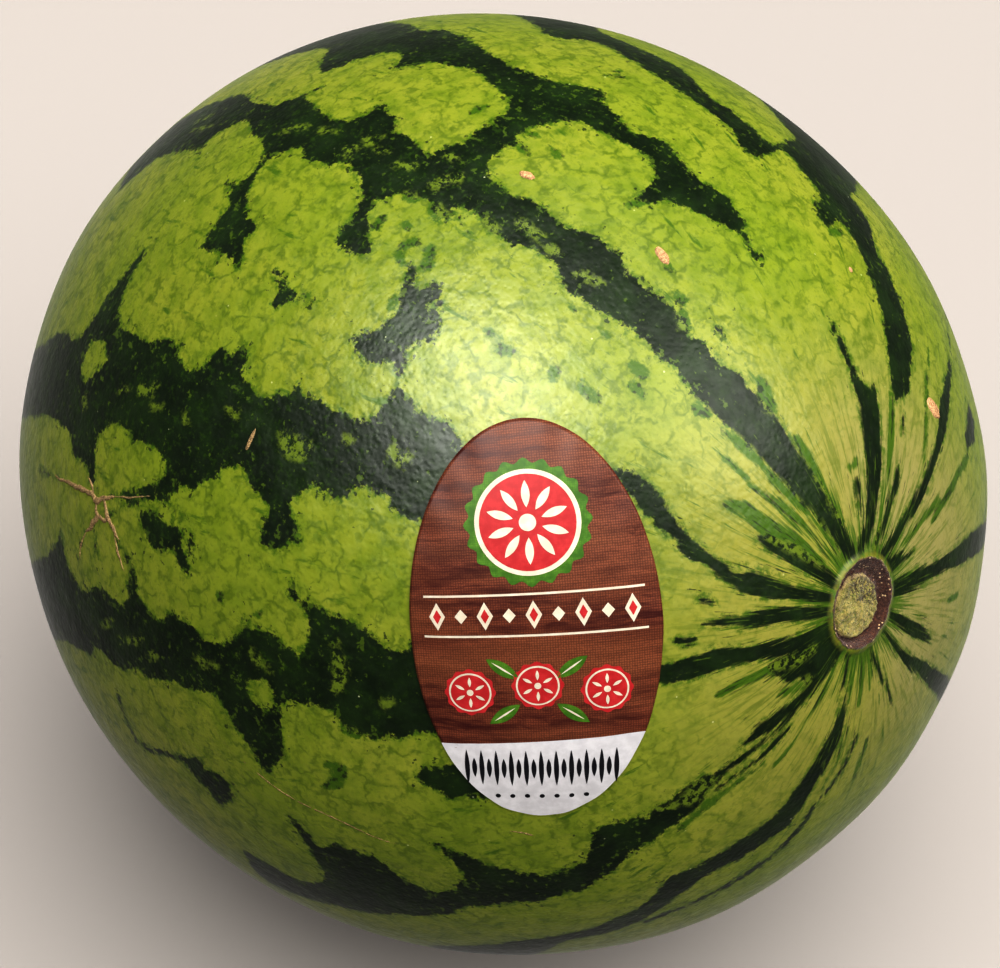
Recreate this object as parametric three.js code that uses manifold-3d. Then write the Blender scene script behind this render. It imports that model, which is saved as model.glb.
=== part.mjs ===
import * as THREE from "three";
import { mergeVertices } from "three/addons/utils/BufferGeometryUtils.js";
import Module from "manifold-3d";

// A watermelon that lies on a flat spot with its stem end tipped up, and the oval label on its side.
// Millimetres, +Z up. The origin is on the floor under the fruit's middle, and the stem end heads +X.
// A place on the skin is given by two angles in degrees. The first is counted from the stem, from 0 at
// the stem to 180 at the blossom end. The second goes round the fruit, from 0 at its crown through 90
// at its front (-Y) side.

// Driving dimensions
const LENGTH = 228;
const BREADTH = 202;
const TIP_UP = 24;

// Height of the fruit's middle over the floor, 2 mm less than the round body would need, so that the
// floor's plane cuts a flat spot of about 44 mm across.
const MIDDLE_HEIGHT = 101.8;

// The section across the fruit is a little taller than wide, and a trace of a rounded triangle.
const OVAL = 0.0125;
const TRIANGLE = 0.003;
const TRIANGLE_TURN = 9;

// Shallow lobes that run into both ends
const LOBES = 11;
const LOBE_DEPTH = 0.35;

// Stem scar, measured from its middle: the torn core, a groove of brown cork and a raised collar
const SCAR_CORE = 5.3;
const SCAR_GROOVE = 6.5;
const SCAR_COLLAR = 8.1;
const SCAR_FOOT = 9.2;
const CORE_DROP = 0.6;
const GROOVE_DROP = 1.9;
const COLLAR_RISE = 0.45;
const TORN = 0.22;
const SCAR_OVAL = 0.065;
const SCAR_OVAL_TURN = 150;
const CORE_LEAN = 0.45;
const CORE_LEAN_TURN = 115;
const STEM_DIMPLE = 0.8;
const STEM_DIMPLE_REACH = 20;

// Blossom end: a small button in a shallow dimple
const BUTTON_RADIUS = 3.4;
const BUTTON_RISE = 0.5;
const BLOSSOM_DIMPLE = 1.3;
const BLOSSOM_DIMPLE_REACH = 16;

// Label
const LABEL_WIDTH = 42.7;
const LABEL_HEIGHT = 73.4;
const LABEL_EGG = 0.02;
const LABEL_PLACE = [31.8, 70.8];
const LABEL_TURN = -86.4;
const LABEL_GAP = 0.3;
const LABEL_THICKNESS = 0.5;

// Healed star scar: the middle line of each corky arm, as places on the skin
const STAR_ARMS = [
  [[95, 63.1], [89.2, 63.1], [85.1, 63.2], [83.9, 63.6], [82.3, 63], [80.4, 62.5]],
  [[83.9, 63.5], [84.1, 64.8], [83.8, 65.4], [85.1, 66.8], [86.3, 67.7]],
  [[84, 65.3], [82.6, 65.5], [81.2, 65.1]],
  [[82.5, 62.9], [82, 64.1], [81.2, 65.3], [80.4, 66.1], [79.3, 67.1]],
];
const ARM_WIDTH = 1.3;
const ARM_RISE = 0.4;
const ARM_ROOT = 0.8;

// Corky scabs: place, length, width, and the turn of the length from the stem-to-blossom line
const SCABS = [
  { place: [51.7, 8.7], length: 3.2, width: 1.7, turn: 15 },
  { place: [37.1, 3.9], length: 4, width: 2, turn: -10 },
  { place: [21.2, 299.5], length: 5.2, width: 3, turn: 80 },
];
const SCAB_RISE = 0.35;

// Fineness of the skin's mesh
const AROUND = 72;
const RING_STEP = 5;

const HALF_LENGTH = LENGTH / 2;
const HALF_BREADTH = BREADTH / 2;
const radians = THREE.MathUtils.degToRad;
const tip = radians(TIP_UP);

// The fruit's own axes: towards the stem, towards the crown and towards the front
const STEMWARD = new THREE.Vector3(Math.cos(tip), 0, Math.sin(tip));
const CROWNWARD = new THREE.Vector3(-Math.sin(tip), 0, Math.cos(tip));
const FRONTWARD = new THREE.Vector3(0, -1, 0);

function direction([fromStem, round]) {
  const p = radians(fromStem);
  const q = radians(round);
  return new THREE.Vector3()
    .addScaledVector(STEMWARD, Math.cos(p))
    .addScaledVector(CROWNWARD, Math.sin(p) * Math.cos(q))
    .addScaledVector(FRONTWARD, Math.sin(p) * Math.sin(q));
}

function placeOf(heading) {
  const fromStem = Math.acos(THREE.MathUtils.clamp(heading.dot(STEMWARD), -1, 1));
  const round = Math.atan2(heading.dot(FRONTWARD), heading.dot(CROWNWARD));
  return [THREE.MathUtils.radToDeg(fromStem), THREE.MathUtils.radToDeg(round)];
}

// Distance of the skin from the fruit's middle, without the scars
function skinReach([fromStem, round]) {
  const p = radians(fromStem);
  const q = radians(round);
  const across = Math.sin(p) ** 2;
  const egg = 1 / Math.hypot(Math.cos(p) / HALF_LENGTH, Math.sin(p) / HALF_BREADTH);
  const section = OVAL * Math.cos(2 * q) + TRIANGLE * Math.cos(3 * (q - radians(TRIANGLE_TURN)));
  const lobes = LOBE_DEPTH * across * Math.cos(p) ** 2 * 2 * Math.cos(LOBES * q);
  return egg * (1 + across * section) + lobes;
}

function pointOnSkin(place, rise = 0) {
  return direction(place).multiplyScalar(skinReach(place) + rise);
}

// A wide shallow dimple, by the distance from the fruit's axis
const dimple = (distance, depth, reach) => -depth * Math.exp(-((distance / reach) ** 2));

// One ring of the skin: round it, its distance from the fruit's axis and its rise over the skin
function scarRing(distance, rise, lean = 0, torn = 0) {
  return (round) => {
    const oval = 1 + SCAR_OVAL * Math.cos(2 * radians(round - SCAR_OVAL_TURN));
    const shifted = lean * Math.cos(radians(round - CORE_LEAN_TURN));
    const rough = torn * Math.sin(radians(5 * round)) * Math.cos(radians(9 * round + 40));
    return { distance: distance * oval + shifted, rise: rise + rough };
  };
}

function stemScarRings() {
  return [
    scarRing(2.3, -CORE_DROP, CORE_LEAN / 2, TORN),
    scarRing(3.9, -CORE_DROP, CORE_LEAN, TORN),
    scarRing(SCAR_CORE - 0.1, -CORE_DROP, CORE_LEAN, TORN),
    scarRing(SCAR_CORE + 0.3, -GROOVE_DROP, CORE_LEAN),
    scarRing(SCAR_GROOVE, -GROOVE_DROP),
    scarRing(SCAR_GROOVE + 0.6, -0.2),
    scarRing(SCAR_COLLAR - 0.5, COLLAR_RISE),
    scarRing(SCAR_COLLAR, COLLAR_RISE),
    scarRing(SCAR_FOOT, 0),
    scarRing(11, 0),
  ];
}

function blossomRings() {
  const steps = [
    [12, 0],
    [8, 0],
    [BUTTON_RADIUS + 1.2, 0],
    [BUTTON_RADIUS, BUTTON_RISE],
    [BUTTON_RADIUS - 1.2, BUTTON_RISE / 2],
  ];
  return steps.map(([distance, rise]) => () => ({ distance, rise }));
}

// Every ring of vertices from the stem to the blossom end, as places and rises round the fruit
function skinRings() {
  const angle = (distance) => THREE.MathUtils.radToDeg(Math.asin(distance / HALF_LENGTH));
  const steps = Array.from({ length: AROUND }, (_, i) => (360 * i) / AROUND);
  const nearStem = stemScarRings().map((ring) =>
    steps.map((round) => {
      const { distance, rise } = ring(round);
      return { place: [angle(distance), round], rise };
    }),
  );
  const middle = [];
  for (let fromStem = 7.5; fromStem < 173; fromStem += RING_STEP) {
    middle.push(steps.map((round) => ({ place: [fromStem, round], rise: 0 })));
  }
  const nearBlossom = blossomRings().map((ring) =>
    steps.map((round) => {
      const { distance, rise } = ring(round);
      return { place: [180 - angle(distance), round], rise };
    }),
  );
  return [...nearStem, ...middle, ...nearBlossom];
}

function skinVertex({ place, rise }) {
  const offAxis = HALF_LENGTH * Math.sin(radians(place[0]));
  const dip =
    place[0] < 90
      ? dimple(offAxis, STEM_DIMPLE, STEM_DIMPLE_REACH)
      : dimple(offAxis, BLOSSOM_DIMPLE, BLOSSOM_DIMPLE_REACH);
  return pointOnSkin(place, rise + dip);
}

// A closed surface from rings of points with one point at each end
function ringedGeometry(rings, first, last) {
  const around = rings[0].length;
  const points = [first, ...rings.flat(), last];
  const at = (ring, i) => 1 + ring * around + (i % around);
  const faces = [];
  for (let i = 0; i < around; i += 1) {
    faces.push(0, at(0, i + 1), at(0, i));
    faces.push(points.length - 1, at(rings.length - 1, i), at(rings.length - 1, i + 1));
    for (let ring = 0; ring < rings.length - 1; ring += 1) {
      faces.push(at(ring, i), at(ring, i + 1), at(ring + 1, i));
      faces.push(at(ring, i + 1), at(ring + 1, i + 1), at(ring + 1, i));
    }
  }
  return new THREE.BufferGeometry().setFromPoints(points).setIndex(faces);
}

function skinGeometry() {
  const rings = skinRings().map((ring) => ring.map(skinVertex));
  const first = skinVertex({ place: [0, 0], rise: -CORE_DROP });
  const last = skinVertex({ place: [180, 0], rise: 0 });
  return ringedGeometry(rings, first, last);
}

// A low rounded ridge along a line of places, thin at both ends
function ridgeGeometry(places, width, rise) {
  const line = new THREE.CatmullRomCurve3(places.map((place) => pointOnSkin(place)));
  const sides = 6;
  const steps = 3 * places.length;
  const rings = [];
  for (let step = 0; step <= steps; step += 1) {
    const along = step / steps;
    const middle = line.getPoint(0.01 + 0.98 * along);
    const out = middle.clone().normalize();
    const across = line.getTangent(along).cross(out).normalize();
    const full = 0.45 + 0.55 * Math.sin(Math.PI * along) ** 0.5;
    rings.push(
      Array.from({ length: sides }, (_, i) => {
        const turn = (2 * Math.PI * i) / sides;
        return middle
          .clone()
          .addScaledVector(across, (Math.cos(turn) * width * full) / 2)
          .addScaledVector(out, Math.sin(turn) * (Math.sin(turn) > 0 ? rise : ARM_ROOT) * full);
      }),
    );
  }
  return ringedGeometry(rings, line.getPoint(0), line.getPoint(1));
}

// A flat lens of cork that sits half in the skin
function scabGeometry({ place, length, width, turn }) {
  const out = direction(place);
  const meridian = direction([place[0] + 90, place[1]]);
  const along = meridian.applyAxisAngle(out, radians(turn));
  const across = new THREE.Vector3().crossVectors(out, along);
  const stand = new THREE.Matrix4().makeBasis(along, across, out).setPosition(pointOnSkin(place));
  return new THREE.SphereGeometry(1, 14, 8).scale(length / 2, width / 2, SCAB_RISE).applyMatrix4(stand);
}

// The label's frame on the skin: outward, towards its top and towards its right
const labelOut = direction(LABEL_PLACE);
const labelUp = direction([LABEL_PLACE[0] + 90, LABEL_PLACE[1]]).applyAxisAngle(
  labelOut,
  radians(LABEL_TURN),
);
const labelRight = new THREE.Vector3().crossVectors(labelUp, labelOut);
const labelReach = skinReach(LABEL_PLACE);

// A point over the skin, from distances along it to the right and up from the label's middle
function pointOverLabel(right, up, rise) {
  const bend = Math.hypot(right, up) / labelReach;
  const heading = new THREE.Vector3()
    .addScaledVector(labelRight, right)
    .addScaledVector(labelUp, up)
    .normalize()
    .multiplyScalar(Math.sin(bend))
    .addScaledVector(labelOut, Math.cos(bend));
  return pointOnSkin(placeOf(heading), rise);
}

function labelGeometry() {
  const around = 48;
  const fractions = [0.25, 0.5, 0.75, 1];
  const ring = (fraction, rise) =>
    Array.from({ length: around }, (_, i) => {
      const turn = (2 * Math.PI * i) / around;
      const up = (fraction * Math.sin(turn) * LABEL_HEIGHT) / 2;
      const egg = 1 + LABEL_EGG * Math.sin(turn);
      const right = (fraction * Math.cos(turn) * egg * LABEL_WIDTH) / 2;
      return pointOverLabel(right, up, rise);
    });
  const top = LABEL_GAP + LABEL_THICKNESS;
  const under = fractions.map((fraction) => ring(fraction, LABEL_GAP));
  const over = fractions.map((fraction) => ring(fraction, top)).reverse();
  return ringedGeometry(
    [...under, ...over],
    pointOverLabel(0, 0, LABEL_GAP),
    pointOverLabel(0, 0, top),
  );
}

const wasm = await Module();
wasm.setup();

// A closed geometry as a solid, turned the right way out
function solidOf(geometry) {
  const plain = new THREE.BufferGeometry();
  plain.setAttribute("position", geometry.getAttribute("position"));
  plain.setIndex(geometry.index);
  const merged = mergeVertices(plain, 1e-4);
  const triVerts = new Uint32Array(merged.index.array);
  const build = () =>
    new wasm.Manifold(
      new wasm.Mesh({ numProp: 3, vertProperties: merged.attributes.position.array, triVerts }),
    );
  const solid = build();
  if (solid.volume() > 0) return solid;
  for (let i = 0; i < triVerts.length; i += 3) {
    [triVerts[i + 1], triVerts[i + 2]] = [triVerts[i + 2], triVerts[i + 1]];
  }
  return build();
}

function geometryOf(solid) {
  const { vertProperties, triVerts } = solid.getMesh();
  const geometry = new THREE.BufferGeometry();
  geometry.setAttribute("position", new THREE.BufferAttribute(vertProperties, 3));
  geometry.setIndex(new THREE.BufferAttribute(triVerts, 1));
  geometry.computeVertexNormals();
  return geometry;
}

function fruit() {
  let solid = solidOf(skinGeometry());
  for (const arm of STAR_ARMS) {
    solid = solid.add(solidOf(ridgeGeometry(arm, ARM_WIDTH, ARM_RISE)));
  }
  for (const scab of SCABS) {
    solid = solid.add(solidOf(scabGeometry(scab)));
  }
  const below = new THREE.BoxGeometry(LENGTH, LENGTH, 20).translate(0, 0, -MIDDLE_HEIGHT - 10);
  solid = solid.subtract(solidOf(below));
  const rind = new THREE.MeshStandardMaterial({ color: 0x6f8a2a, roughness: 0.42, metalness: 0 });
  const mesh = new THREE.Mesh(geometryOf(solid), rind);
  mesh.name = "fruit";
  return mesh;
}

function label() {
  const paper = new THREE.MeshStandardMaterial({ color: 0x7a4632, roughness: 0.35, metalness: 0 });
  const mesh = new THREE.Mesh(geometryOf(solidOf(labelGeometry())), paper);
  mesh.name = "label";
  return mesh;
}

const watermelon = new THREE.Group();
watermelon.position.z = MIDDLE_HEIGHT;
watermelon.add(fruit(), label());

export default watermelon;
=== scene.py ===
"""A ripe watermelon with its oval label, on a pale floor in soft studio light.

Millimetres in the numbers, metres in the meshes, +Z up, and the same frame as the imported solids. A place on
the skin is two angles in degrees: the first from the stem, from 0 at the stem to 180 at the blossom end, and
the second round the fruit, from 0 at its crown through 90 at its front.
"""

import math

import bpy
import numpy as np
from mathutils import Matrix, Vector, noise


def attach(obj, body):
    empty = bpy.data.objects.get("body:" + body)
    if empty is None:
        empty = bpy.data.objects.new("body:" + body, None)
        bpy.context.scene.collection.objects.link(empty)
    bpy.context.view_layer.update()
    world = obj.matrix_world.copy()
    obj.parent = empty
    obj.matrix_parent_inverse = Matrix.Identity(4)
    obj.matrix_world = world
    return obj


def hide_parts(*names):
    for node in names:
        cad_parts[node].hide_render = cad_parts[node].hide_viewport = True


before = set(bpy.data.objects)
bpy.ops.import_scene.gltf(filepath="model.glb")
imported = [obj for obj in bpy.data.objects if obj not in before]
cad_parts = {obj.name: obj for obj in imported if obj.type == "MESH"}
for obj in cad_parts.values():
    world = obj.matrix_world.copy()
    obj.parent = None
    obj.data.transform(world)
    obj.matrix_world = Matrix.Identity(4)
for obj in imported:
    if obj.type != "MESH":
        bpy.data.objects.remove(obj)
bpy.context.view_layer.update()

MM = 0.001
BODY = "root"

# The fruit's egg, as in the solids: its half length and breadth, the lift of its stem end, its middle, and
# how much its section is oval, three-sided and lobed
HALF_LENGTH = 114.0
HALF_BREADTH = 101.0
TIP_UP = math.radians(24)
MIDDLE = np.array([0.0, 0.0, 101.8])
OVAL = 0.0125
TRIANGLE = 0.003
TRIANGLE_TURN = 9.0
LOBES = 11
LOBE_DEPTH = 0.35

STEMWARD = np.array([math.cos(TIP_UP), 0.0, math.sin(TIP_UP)])
CROWNWARD = np.array([-math.sin(TIP_UP), 0.0, math.cos(TIP_UP)])
FRONTWARD = np.array([0.0, -1.0, 0.0])

# The photograph and its camera. The camera looks past the fruit's middle by the two small angles.
PHOTO_WIDTH = 1000
PHOTO_HEIGHT = 968
VIEW_AZIMUTH = 50.156
VIEW_ELEVATION = 44.003
VIEW_DISTANCE = 420.0
VIEW_PIXELS = 1866.3
VIEW_YAW = 0.366
VIEW_PITCH = -0.09
SENSOR_WIDTH = 36.0

# Dark bands and blotches, each as the outline that the photograph shows
DARK_BANDS = {
    "crown_band": [
        (118, 192), (158, 157), (197, 149), (199, 157), (203, 146), (214, 136), (240, 120), (249, 121),
        (251, 133), (263, 140), (266, 157), (248, 180), (236, 184), (224, 182), (232, 200), (229, 209),
        (219, 216), (214, 228), (206, 235), (208, 241), (203, 246), (222, 253), (212, 267), (226, 254),
        (234, 256), (236, 271), (243, 262), (243, 243), (261, 224), (246, 220), (244, 206), (256, 172),
        (269, 158), (283, 151), (303, 149), (304, 156), (316, 162), (342, 164), (356, 172), (364, 199),
        (337, 240), (348, 251), (362, 256), (369, 252), (371, 225), (367, 210), (378, 200), (398, 193),
        (428, 202), (434, 214), (443, 222), (458, 219), (448, 206), (462, 207), (476, 214), (481, 225),
        (503, 238), (508, 245), (522, 243), (538, 250), (551, 260), (558, 270), (557, 280), (566, 290),
        (622, 322), (674, 367), (686, 384), (768, 466), (851, 561), (862, 562), (838, 510), (770, 408),
        (694, 338), (670, 303), (640, 284), (626, 271), (621, 257), (599, 235), (572, 231), (541, 208),
        (497, 187), (470, 160), (447, 147), (430, 158), (420, 147), (394, 131), (396, 120), (388, 109),
        (377, 106), (366, 115), (350, 119), (333, 118), (321, 113), (315, 104), (304, 100), (308, 93),
        (324, 87), (280, 104), (262, 104), (250, 101), (250, 96), (238, 95), (178, 121), (160, 135),
        (130, 165),
    ],
    "crown_bridge": [
        (430, 158), (447, 147), (463, 142), (508, 113), (513, 102), (535, 100), (560, 121), (530, 127),
        (517, 136), (516, 143), (500, 149), (489, 160), (487, 177), (470, 185), (440, 175),
    ],
    "back_band": [
        (240, 70), (322, 48), (332, 48), (318, 67), (322, 73), (380, 52), (400, 53), (405, 58), (386, 73),
        (400, 67), (418, 66), (432, 61), (474, 70), (487, 78), (512, 104), (505, 116), (540, 125),
        (580, 119), (603, 135), (638, 149), (650, 160), (657, 175), (652, 185), (632, 199), (638, 204),
        (668, 202), (684, 206), (742, 234), (748, 226), (724, 197), (688, 171), (669, 144), (634, 133),
        (622, 123), (603, 101), (606, 96), (598, 90), (540, 79), (492, 56), (463, 36), (445, 30), (425, 31),
        (375, 20), (300, 40), (262, 55),
    ],
    "far_shoulder": [
        (500, 0), (505, 12), (520, 17), (545, 33), (556, 38), (597, 42), (672, 85), (734, 130), (737, 143),
        (750, 154), (761, 159), (772, 150), (779, 149), (793, 159), (824, 199), (813, 203), (820, 217),
        (826, 224), (840, 221), (857, 242), (880, 305), (893, 392), (897, 402), (903, 398), (909, 388),
        (913, 350), (909, 332), (897, 292), (877, 253), (866, 218), (851, 196), (860, 170), (830, 140),
        (800, 112), (735, 72), (738, 86), (775, 115), (797, 139), (776, 145), (764, 139), (738, 116),
        (708, 97), (682, 69), (600, 33), (590, 10),
    ],
    "right_band": [
        (928, 282), (937, 290), (947, 335), (951, 385), (946, 430), (925, 494), (886, 562), (876, 562),
        (913, 502), (936, 443), (940, 400),
    ],
    "right_edge": [
        (968, 403), (974, 420), (974, 440), (967, 452), (965, 435),
    ],
    "right_low": [
        (1000, 503), (976, 529), (944, 555), (890, 584), (891, 601), (945, 570), (1000, 523),
    ],
    "right_root": [
        (884, 562), (908, 547), (905, 556), (915, 552), (893, 574),
    ],
    "fork": [
        (832, 321), (858, 376), (870, 388), (874, 384), (881, 425), (883, 450), (877, 525), (862, 562),
        (857, 562), (867, 520), (868, 495), (860, 402), (832, 328),
    ],
    "thin_right": [
        (899, 462), (900, 480), (888, 525), (876, 560), (871, 560),
    ],
    "belt_right": [
        (560, 470), (600, 468), (634, 472), (646, 478), (678, 525), (713, 557), (722, 562), (765, 572),
        (790, 584), (841, 597), (841, 603), (765, 597), (742, 592), (712, 572), (704, 563), (690, 560),
        (676, 541), (640, 513), (628, 495), (600, 500), (560, 520),
    ],
    "tongue_right": [
        (757, 536), (772, 536), (790, 543), (808, 553), (850, 586), (843, 595), (758, 543),
    ],
    "finger": [
        (405, 268), (402, 299), (394, 315), (382, 327), (351, 343), (352, 350), (367, 362), (390, 360),
        (397, 372), (399, 395), (403, 395), (402, 357), (408, 347), (430, 338), (443, 325), (440, 317),
        (429, 314), (426, 307), (440, 296), (441, 290), (434, 283), (427, 285), (425, 292), (417, 288),
        (415, 271), (410, 266),
    ],
    "belt_left": [
        (0, 345), (30, 350), (45, 344), (62, 331), (80, 341), (105, 301), (147, 247), (121, 297),
        (118, 312), (120, 327), (128, 333), (150, 343), (173, 339), (179, 346), (178, 356), (191, 374),
        (212, 358), (222, 344), (229, 352), (236, 353), (244, 343), (247, 355), (243, 370), (247, 382),
        (256, 393), (270, 397), (285, 395), (296, 388), (305, 395), (320, 398), (328, 407), (342, 413),
        (350, 421), (365, 421), (380, 414), (392, 392), (400, 388), (410, 405), (448, 425), (463, 447),
        (520, 460), (560, 480), (560, 520), (500, 530), (420, 522), (410, 514), (398, 512), (390, 506),
        (389, 497), (366, 486), (352, 488), (345, 498), (334, 498), (314, 483), (291, 498), (289, 510),
        (298, 541), (268, 549), (262, 545), (262, 522), (274, 517), (270, 508), (253, 490), (243, 470),
        (232, 466), (220, 468), (160, 498), (140, 500), (116, 497), (116, 493), (155, 485), (165, 477),
        (168, 466), (164, 456), (154, 445), (143, 440), (134, 443), (121, 425), (112, 422), (103, 428),
        (98, 437), (93, 490), (87, 466), (74, 455), (71, 433), (55, 419), (48, 415), (0, 420),
    ],
    "scar_blot": [
        (139, 518), (148, 510), (157, 508), (160, 518), (167, 526), (174, 523), (180, 530), (181, 546),
        (192, 573), (186, 574), (175, 550), (154, 548), (141, 528),
    ],
    "low_belt": [
        (10, 570), (48, 556), (58, 543), (61, 530), (66, 560), (80, 590), (102, 590), (120, 606),
        (127, 602), (131, 587), (158, 622), (170, 615), (180, 617), (205, 640), (222, 646), (246, 628),
        (243, 616), (254, 628), (268, 631), (301, 660), (311, 628), (309, 613), (290, 596), (292, 578),
        (296, 594), (308, 603), (358, 626), (388, 648), (402, 650), (413, 644), (450, 640), (470, 690),
        (450, 730), (390, 736), (370, 737), (352, 732), (340, 724), (333, 712), (306, 702), (290, 701),
        (281, 706), (278, 716), (285, 755), (276, 760), (270, 773), (262, 766), (222, 702), (212, 692),
        (184, 686), (172, 679), (156, 680), (144, 675), (136, 667), (122, 668), (110, 661), (101, 648),
        (94, 647), (90, 655), (66, 640), (40, 640), (20, 610),
    ],
    "low_right": [
        (600, 650), (672, 664), (722, 646), (748, 648), (790, 640), (808, 634), (838, 616), (842, 632),
        (825, 648), (805, 655), (745, 662), (682, 681), (600, 690),
    ],
    "between_right": [
        (755, 613), (775, 609), (838, 606), (838, 614), (800, 622), (740, 630), (750, 624), (722, 622),
        (745, 619),
    ],
    "stem_side": [
        (838, 598), (848, 598), (842, 640), (830, 635), (828, 622),
    ],
    "under_stem": [
        (838, 634), (770, 663), (772, 675), (792, 682), (803, 676), (806, 690), (775, 716), (760, 724),
        (738, 746), (770, 733), (815, 691), (848, 650),
    ],
    "low_front": [
        (435, 841), (445, 849), (512, 872), (545, 877), (585, 862), (593, 832), (605, 825), (645, 818),
        (690, 784), (706, 775), (716, 778), (698, 806), (655, 840), (628, 854), (610, 872), (580, 890),
        (540, 901), (465, 905), (456, 911), (440, 915), (365, 912), (290, 892), (268, 882), (252, 868),
        (244, 850), (298, 880), (315, 884), (326, 880), (322, 868), (291, 820), (299, 824), (316, 845),
        (325, 850), (335, 842), (345, 849), (370, 855), (428, 891), (445, 893), (458, 887), (464, 878),
        (460, 868), (435, 845),
    ],
    "underside": [
        (850, 690), (842, 735), (789, 826), (757, 848), (698, 880), (645, 918), (620, 929), (560, 942),
        (520, 955), (440, 960), (430, 945), (520, 941), (560, 935), (590, 929), (635, 910), (650, 900),
        (668, 879), (706, 861), (772, 819), (820, 755),
    ],
    "stem_low": [
        (872, 645), (893, 705), (872, 658),
    ],
    "stem_low_right": [
        (883, 628), (903, 650), (960, 690), (945, 715), (920, 678), (897, 653),
    ],
    "stem_right": [
        (888, 608), (922, 625), (930, 633), (932, 642), (912, 637), (893, 620),
    ],
    "low_blot": [
        (170, 757), (190, 755), (201, 759), (205, 770), (220, 776), (230, 785), (236, 800), (226, 801),
        (222, 806), (186, 765),
    ],
    "label_blot": [
        (418, 778), (422, 770), (446, 762), (490, 770), (500, 790), (485, 796), (450, 798),
    ],
    "crack_blot": [
        (272, 272), (280, 274), (290, 290), (321, 299), (312, 301), (298, 297), (287, 298), (274, 308),
        (281, 288),
    ],
}

# Light islands inside the bands
LIGHT_ISLANDS = {
    "belt_island": [
        (95, 338), (105, 342), (107, 361), (86, 383), (81, 377), (80, 368), (90, 343),
    ],
    "low_island": [
        (245, 683), (251, 679), (267, 680), (273, 690), (276, 706), (267, 712), (257, 707), (248, 698),
    ],
    "notch": [
        (828, 222), (840, 222), (850, 230), (848, 243), (838, 240),
    ],
    "slit": [
        (728, 566), (740, 567), (747, 572), (735, 574),
    ],
    "front_island": [
        (372, 857), (380, 853), (452, 866), (464, 874), (463, 881), (445, 892), (430, 891), (412, 883),
    ],
}

# Thin dark lines, as points with a half-width
DARK_LINES = [
    [(857, 480, 1.5), (858, 495, 2), (861, 516, 1)],
    [(903, 414, 1), (903, 436, 1)],
    [(700, 625, 1), (725, 622, 2), (750, 620, 2)],
    [(722, 617, 1), (745, 617, 1.5), (762, 614, 2)],
    [(698, 598, 2), (706, 600, 3), (712, 603, 1.5)],
    [(676, 640, 1.5), (686, 641, 3), (694, 639, 1.5)],
    [(163, 498, 1.5), (172, 506, 1.5), (176, 522, 1.5)],
    [(180, 515, 1), (188, 530, 1.5), (192, 548, 2), (191, 562, 1)],
    [
        (858, 735, 2), (845, 765, 3), (832, 785, 3), (815, 805, 4), (800, 828, 4), (780, 850, 5),
        (755, 868, 5), (725, 887, 5), (695, 902, 4), (665, 914, 4), (630, 928, 3),
    ],
    [(850, 655, 2), (846, 685, 2.5), (838, 715, 1)],
    [
        (118, 695, 2), (124, 712, 3), (130, 728, 4), (137, 742, 4), (150, 750, 3), (163, 753, 3),
        (178, 758, 3),
    ],
    [(745, 236, 1), (750, 246, 1.5), (757, 256, 3), (763, 257, 1)],
    [(600, 70, 1), (612, 76, 3), (626, 78, 1)],
    [(128, 590, 1), (134, 575, 1), (131, 560, 0.8)],
    [(84, 533, 1), (80, 545, 1.5), (75, 553, 1)],
    [(112, 496, 1.5), (130, 495, 3), (150, 492, 4), (170, 488, 5), (195, 481, 5), (215, 474, 3)],
    [(108, 514, 1), (122, 508, 1.2), (138, 502, 1.4), (156, 498, 2)],
    [(118, 541, 1.2), (124, 556, 1.6), (130, 572, 2), (137, 592, 3)],
    [(95, 524, 1), (95, 540, 1.2), (97, 556, 0.8)],
    [(60, 478, 1.2), (50, 474, 2.5), (40, 471, 2.5)],
    [(436, 300, 2), (440, 310, 1)],
    [(716, 320, 1), (718, 330, 2), (722, 338, 1)],
    [(700, 790, 6), (722, 772, 3), (748, 754, 2.5), (775, 732, 2), (806, 700, 1.5), (840, 660, 2)],
    [(716, 790, 2), (740, 772, 1.5), (765, 754, 2), (790, 728, 1)],
]

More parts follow.
